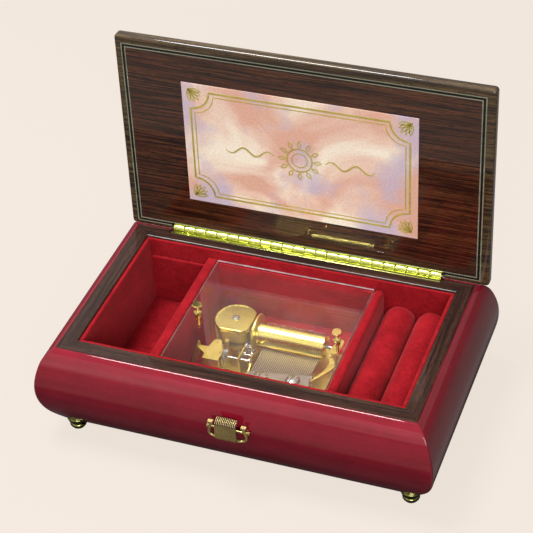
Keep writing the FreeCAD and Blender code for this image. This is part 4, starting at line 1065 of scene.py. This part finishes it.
def card_ornament():
    """Double rule with hollowed corners, leaves fanned in each corner and ringed in the middle."""
    w, h = card_size
    lines = []
    corners = ((1, 1, 270, 180), (-1, 1, 0, -90), (-1, -1, 90, 0), (1, -1, 180, 90))
    for inset, width in ((4.6, 1.15), (6.9, 0.6)):
        x, y, r = w / 2 - inset, h / 2 - inset, 11.0
        rule = []
        for sx, sy, a0, a1 in corners:
            rule += arc(sx * x, sy * y, r, a0, a1, 12)
        lines.append((rule, width, True))
    for sx in (-1, 1):
        for sy in (-1, 1):
            x, y = sx * (w / 2 - 3.6), sy * (h / 2 - 3.6)
            towards = math.degrees(math.atan2(-sy, -sx))
            for k in range(-2, 3):
                leaf = leaf_shape(x, y, towards + 19 * k, 9.0 - 0.7 * abs(k), 2.2)
                lines.append((leaf, 0.7, True))
    for k in range(12):
        a = math.radians(30 * k)
        leaf = leaf_shape(8.0 * math.cos(a), 8.0 * math.sin(a), 30 * k, 4.4, 2.0)
        lines.append((leaf, 0.7, True))
    for r, width in ((7.2, 0.9), (4.4, 0.6)):
        lines.append((arc(0, 0, r, 0, 350, 35), width, True))
    for sx in (-1, 1):
        stem = [(sx * (14.5 + 1.4 * k), 2.2 * math.sin(k * 0.62)) for k in range(21)]
        lines.append((stem, 1.1, False))
    return lines


# Clear cover


def build_cover():
    x0, x1, y0, y1, z0, z1 = node_bounds("acrylic_cover")
    sheet = block("clear_sheet", x0, x1, y0, y1, z0, z1)
    soften(sheet, 0.25, 2)
    place(sheet, "cover", acrylic, "clear_acrylic", "acrylic_cover")
    sheet.data.materials.append(sawn_acrylic)
    for face in sheet.data.polygons:
        if abs(face.normal.z) < 0.5:
            face.material_index = 1


# Hinge, pins, grip and the metal of the movement


def build_hinge():
    """Two leaves with rolled knuckles, every second one on each; the lid's runs under the wood."""
    x0, x1, *_ = node_bounds("hinge_case_leaf")
    pitch = (x1 - x0) / knuckle_count
    turned = ((0.0, 0.40), (0.12, 0.15), (0.36, 0.02), (0.52, 0.0))
    knuckle_end = [(0.0, knuckle_bore)] + [(step, barrel_r - drop) for step, drop in turned]
    for body, node, first, face_z, thick in (
        ("case", "hinge_case_leaf", 1, rim_top, -leaf_thickness),
        ("lid", "hinge_lid_leaf", 0, lid_face, leaf_thickness),
    ):
        z0, z1 = sorted((face_z, face_z + thick))
        start = leaf_reach if body == "case" else lid_leaf_shown
        strip = block("leaf", x0, x1, hinge_y - start, hinge_y - barrel_r - 0.06, z0, z1)
        parts = [soften(strip, 0.15, 2)]
        if body == "lid":
            y0, y1 = hinge_y - leaf_reach, hinge_y - start + 0.3
            parts.append(block("let_in", x0, x1, y0, y1, z0 + 0.45, z1))
        for i in range(first, knuckle_count, 2):
            a, b = x0 + i * pitch + knuckle_gap / 2, x0 + (i + 1) * pitch - knuckle_gap / 2
            left = [(a + step, r) for step, r in knuckle_end]
            right = [(b - step, r) for step, r in knuckle_end[::-1]]
            parts.append(lathe_x("knuckle", left + right, hinge_y, hinge_z))
            y0, y1 = hinge_y - barrel_r - 0.5, hinge_y - 1.0
            parts.append(block("tongue", a + 0.1, b - 0.1, y0, y1, z0, z1))
        leaf = joined("rolled_" + node, parts)
        if body == "lid":
            open_with_lid(leaf)
        place(leaf, body, brass, "polished_brass", node)


def build_lid_nails():
    """The nails of the lid's leaf, their heads covered by the wood."""
    x0, x1, *_ = node_bounds("lid_nails")
    first, last = x0 + 0.9, x1 - 0.9
    heights = ((0.15, 5.1), (0.5, 4.6), (0.5, 0.8), (0.9, 0.8), (0.9, 0.6), (0.5, 0.48))
    profile = [(r, lid_face + z) for r, z in heights]
    rows = []
    for k in range(nail_count):
        x = first + (last - first) * k / (nail_count - 1)
        rows.append(turning("nail", profile, x, hinge_y - nails_from_hinge, 24))
    nails = joined("covered_nails", rows)
    open_with_lid(nails)
    place(nails, "lid", brass, "polished_brass", "lid_nails")


def build_cylinder_pins():
    """The tune's pins: short steel points in tracks round the cylinder, clear of the teeth."""
    x0, x1, y0, y1, z0, z1 = node_bounds("cylinder")
    cy, cz, r = (y0 + y1) / 2, (z0 + z1) / 2, (z1 - z0) / 2
    chance = random.Random(30)
    verts = []
    faces = []
    for track in range(tooth_count):
        x = first_tooth_x + track * tooth_pitch
        for k in range(pins_per_track):
            angle = 360 * (k + 0.75 * chance.random()) / pins_per_track
            px = x + chance.choice((-0.16, 0.0, 0.16))
            if abs((angle - comb_angle + 180) % 360 - 180) < comb_clearance:
                continue
            a = math.radians(angle)
            out = Vector((0, math.cos(a), math.sin(a)))
            side = Vector((0, -math.sin(a), math.cos(a)))
            foot = Vector((px, cy, cz)) + out * (r - 0.08)
            faces += skin(len(pin_profile), pin_sides, len(verts))
            for height, share in pin_profile:
                for i in range(pin_sides):
                    t = 2 * math.pi * i / pin_sides
                    turn = Vector((1, 0, 0)) * math.cos(t) + side * math.sin(t)
                    verts.append(tuple(foot + out * height + turn * (pin_radius * share)))
    pins = add_piece("tune_pins", verts, faces)
    place(pins, "cylinder", steel, "steel", "cylinder_pins")


def build_grip_winding():
    """Round wires over the grip of the play switch."""
    x0, x1, y0, y1, z0, z1 = node_bounds("switch_knob")
    wall_y = y0 + grip_stand_out
    pitch = (x1 - x0) / grip_wires
    wires = []
    for i in range(grip_wires):
        x = x0 + (i + 0.5) * pitch
        path = [(x, wall_y - out, grip_stem_z + up) for out, up in spline(grip_wire_course, 3)]
        wires.append(tube("wire", path, grip_wire_r))
    whole = joined("grip_winding", wires)
    place(whole, "switch", bronze, "gold_plate")


def dress_cad_parts():
    finishes = [
        (brass, ["hinge_pin", "case_nails"]),
        (gold, [
            "bedplate", "spring_housing", "left_bearing_plate", "right_bearing_bracket",
            "governor_plates", "governor_bridge", "stop_lever", "stop_post", "cylinder_gear",
            "great_wheel", "comb_block", "air_fan", "drive_pinion",
        ]),
        (bright_gold, ["cover_knobs"]),
        (satin_gold, ["spring_cover", "cylinder"]),
        (bronze, ["switch_arms"]),
        (grip_bronze, ["switch_knob"]),
        (steel, [
            "movement_screws", "base_screws", "cylinder_arbor", "first_arbor", "middle_arbor",
            "second_arbor", "worm_spindle", "mainspring", "winding_arbor", "winding_key",
            "switch_stem", "stop_slide",
        ]),
        (comb_steel, ["comb"]),
        (milky, ["worm_wheel"]),
        (board, ["base_panel"]),
    ]
    for material, names in finishes:
        for name in names:
            finish_with(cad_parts[name], material)


# Floor, light and camera


def painted_reflection_glow(f, glossy_ray):
    """Painted reflection: how much the sweep glows for glossy rays only, for polished faces to
    mirror.

    It lies at the far left, less of it in front, and a little at the right.
    """
    at = f.split(f.here())
    leftward = f.spread(at["X"], 0.72, 0.0, -1.3, -0.4)
    forward = f.spread(at["Y"], 0.34, 0.0, -0.135, -0.120)
    rightward = f.spread(at["X"], 0.0, 0.20, 0.112, 0.125)
    nearer = f.math("MAXIMUM", rightward, forward)
    return f.math("MULTIPLY", glossy_ray, f.math("MAXIMUM", leftward, nearer))


def build_floor():
    """A pale studio sweep: a wide floor that rises in a curve into a backdrop all round."""
    profile = [(600, 0.0), (sweep_radius, 0.0)]
    for k in range(1, 11):
        t = k * math.pi / 20
        out, up = sweep_curve * math.sin(t), sweep_curve - sweep_curve * math.cos(t)
        profile.append((sweep_radius + out, up))
    profile.append((sweep_radius + sweep_curve, sweep_top))
    sides = 96
    verts = []
    for r, z in profile:
        for i in range(sides):
            a = 2 * math.pi * i / sides
            verts.append((r * math.cos(a), r * math.sin(a), z))
    verts.append((0, 0, 0))
    faces = skin(len(profile), sides, capped=False)
    faces += [(i, (i + 1) % sides, len(verts) - 1) for i in range(sides)]
    ground = add_piece("studio_sweep", verts, faces)
    f = Finish("pale_floor")
    cloud = f.noise(f.here(), 3.0, 2.0, 0.5)
    pale = f.ramp(cloud, [(0.3, (0.29, 0.265, 0.24)), (0.7, (0.31, 0.28, 0.255))])
    ray = f.node("ShaderNodeLightPath").outputs
    f.paint(f.blend(ray["Is Camera Ray"], (0.075, 0.07, 0.075), pale))
    f.set(Roughness=0.9, Specular_IOR_Level=0.0)
    glow = f.node("ShaderNodeEmission")
    glow.inputs["Color"].default_value = (1.0, 0.90, 0.81, 1)
    straight = f.math("MAXIMUM", ray["Is Camera Ray"], ray["Is Transmission Ray"])
    seen = f.math("MULTIPLY", straight, 0.8)
    # The glow shows to camera and transmission rays as the pale sweep, and to glossy rays as a
    # painted reflection.
    f.layer(f.math("MAXIMUM", seen, painted_reflection_glow(f, ray["Is Glossy Ray"])), f.shader, glow)
    finish_with(ground, f.material)


def lamp(name, at, aim, size, power):
    data = bpy.data.lights.new(name, "AREA")
    data.shape = "RECTANGLE"
    data.size, data.size_y = size
    data.energy = power
    lit = bpy.data.objects.new(name, data)
    lit.location = at
    lit.rotation_euler = (Vector(aim) - Vector(at)).to_track_quat("-Z", "Y").to_euler()
    bpy.context.scene.collection.objects.link(lit)


def build_light():
    world = bpy.data.worlds.new("studio")
    world.use_nodes = True
    back = world.node_tree.nodes["Background"]
    back.inputs["Color"].default_value = (0.90, 0.86, 0.82, 1)
    back.inputs["Strength"].default_value = 0.60
    bpy.context.scene.world = world
    lamp("softbox_top", (-0.34, -0.02, 1.2), (0, 0, 0.03), (0.45, 0.4), 17.0)
    lamp("softbox_right", (0.52, -1.35, 0.85), (0, 0, 0.08), (0.9, 0.8), 18.0)
    lamp("softbox_left", (-0.6, -1.3, 0.8), (0, 0, 0.05), (1.6, 1.4), 3.2)


def build_camera():
    a, e, r = (math.radians(v) for v in (camera_azimuth, camera_elevation, camera_roll))
    back = Vector((math.sin(a) * math.cos(e), -math.cos(a) * math.cos(e), math.sin(e)))
    right = Vector((math.cos(a), math.sin(a), 0))
    up = back.cross(right)
    x = right * math.cos(r) + up * math.sin(r)
    y = up * math.cos(r) - right * math.sin(r)
    data = bpy.data.cameras.new("photo_camera")
    data.sensor_width = 36.0
    data.lens = camera_lens
    data.clip_start = 0.05
    camera = bpy.data.objects.new("photo_camera", data)
    turn = Matrix((x, y, back)).transposed().to_4x4()
    camera.matrix_world = Matrix.Translation(placed(*camera_place)) @ turn
    bpy.context.scene.collection.objects.link(camera)
    bpy.context.scene.camera = camera


build_camera()
build_floor()
build_light()
build_case()
build_feet()
build_lining()
build_ring_rolls()
build_lid()
build_hinge()
build_lid_nails()
build_cover()
build_cylinder_pins()
build_grip_winding()
dress_cad_parts()
bpy.context.scene.view_settings.view_transform = "Standard"
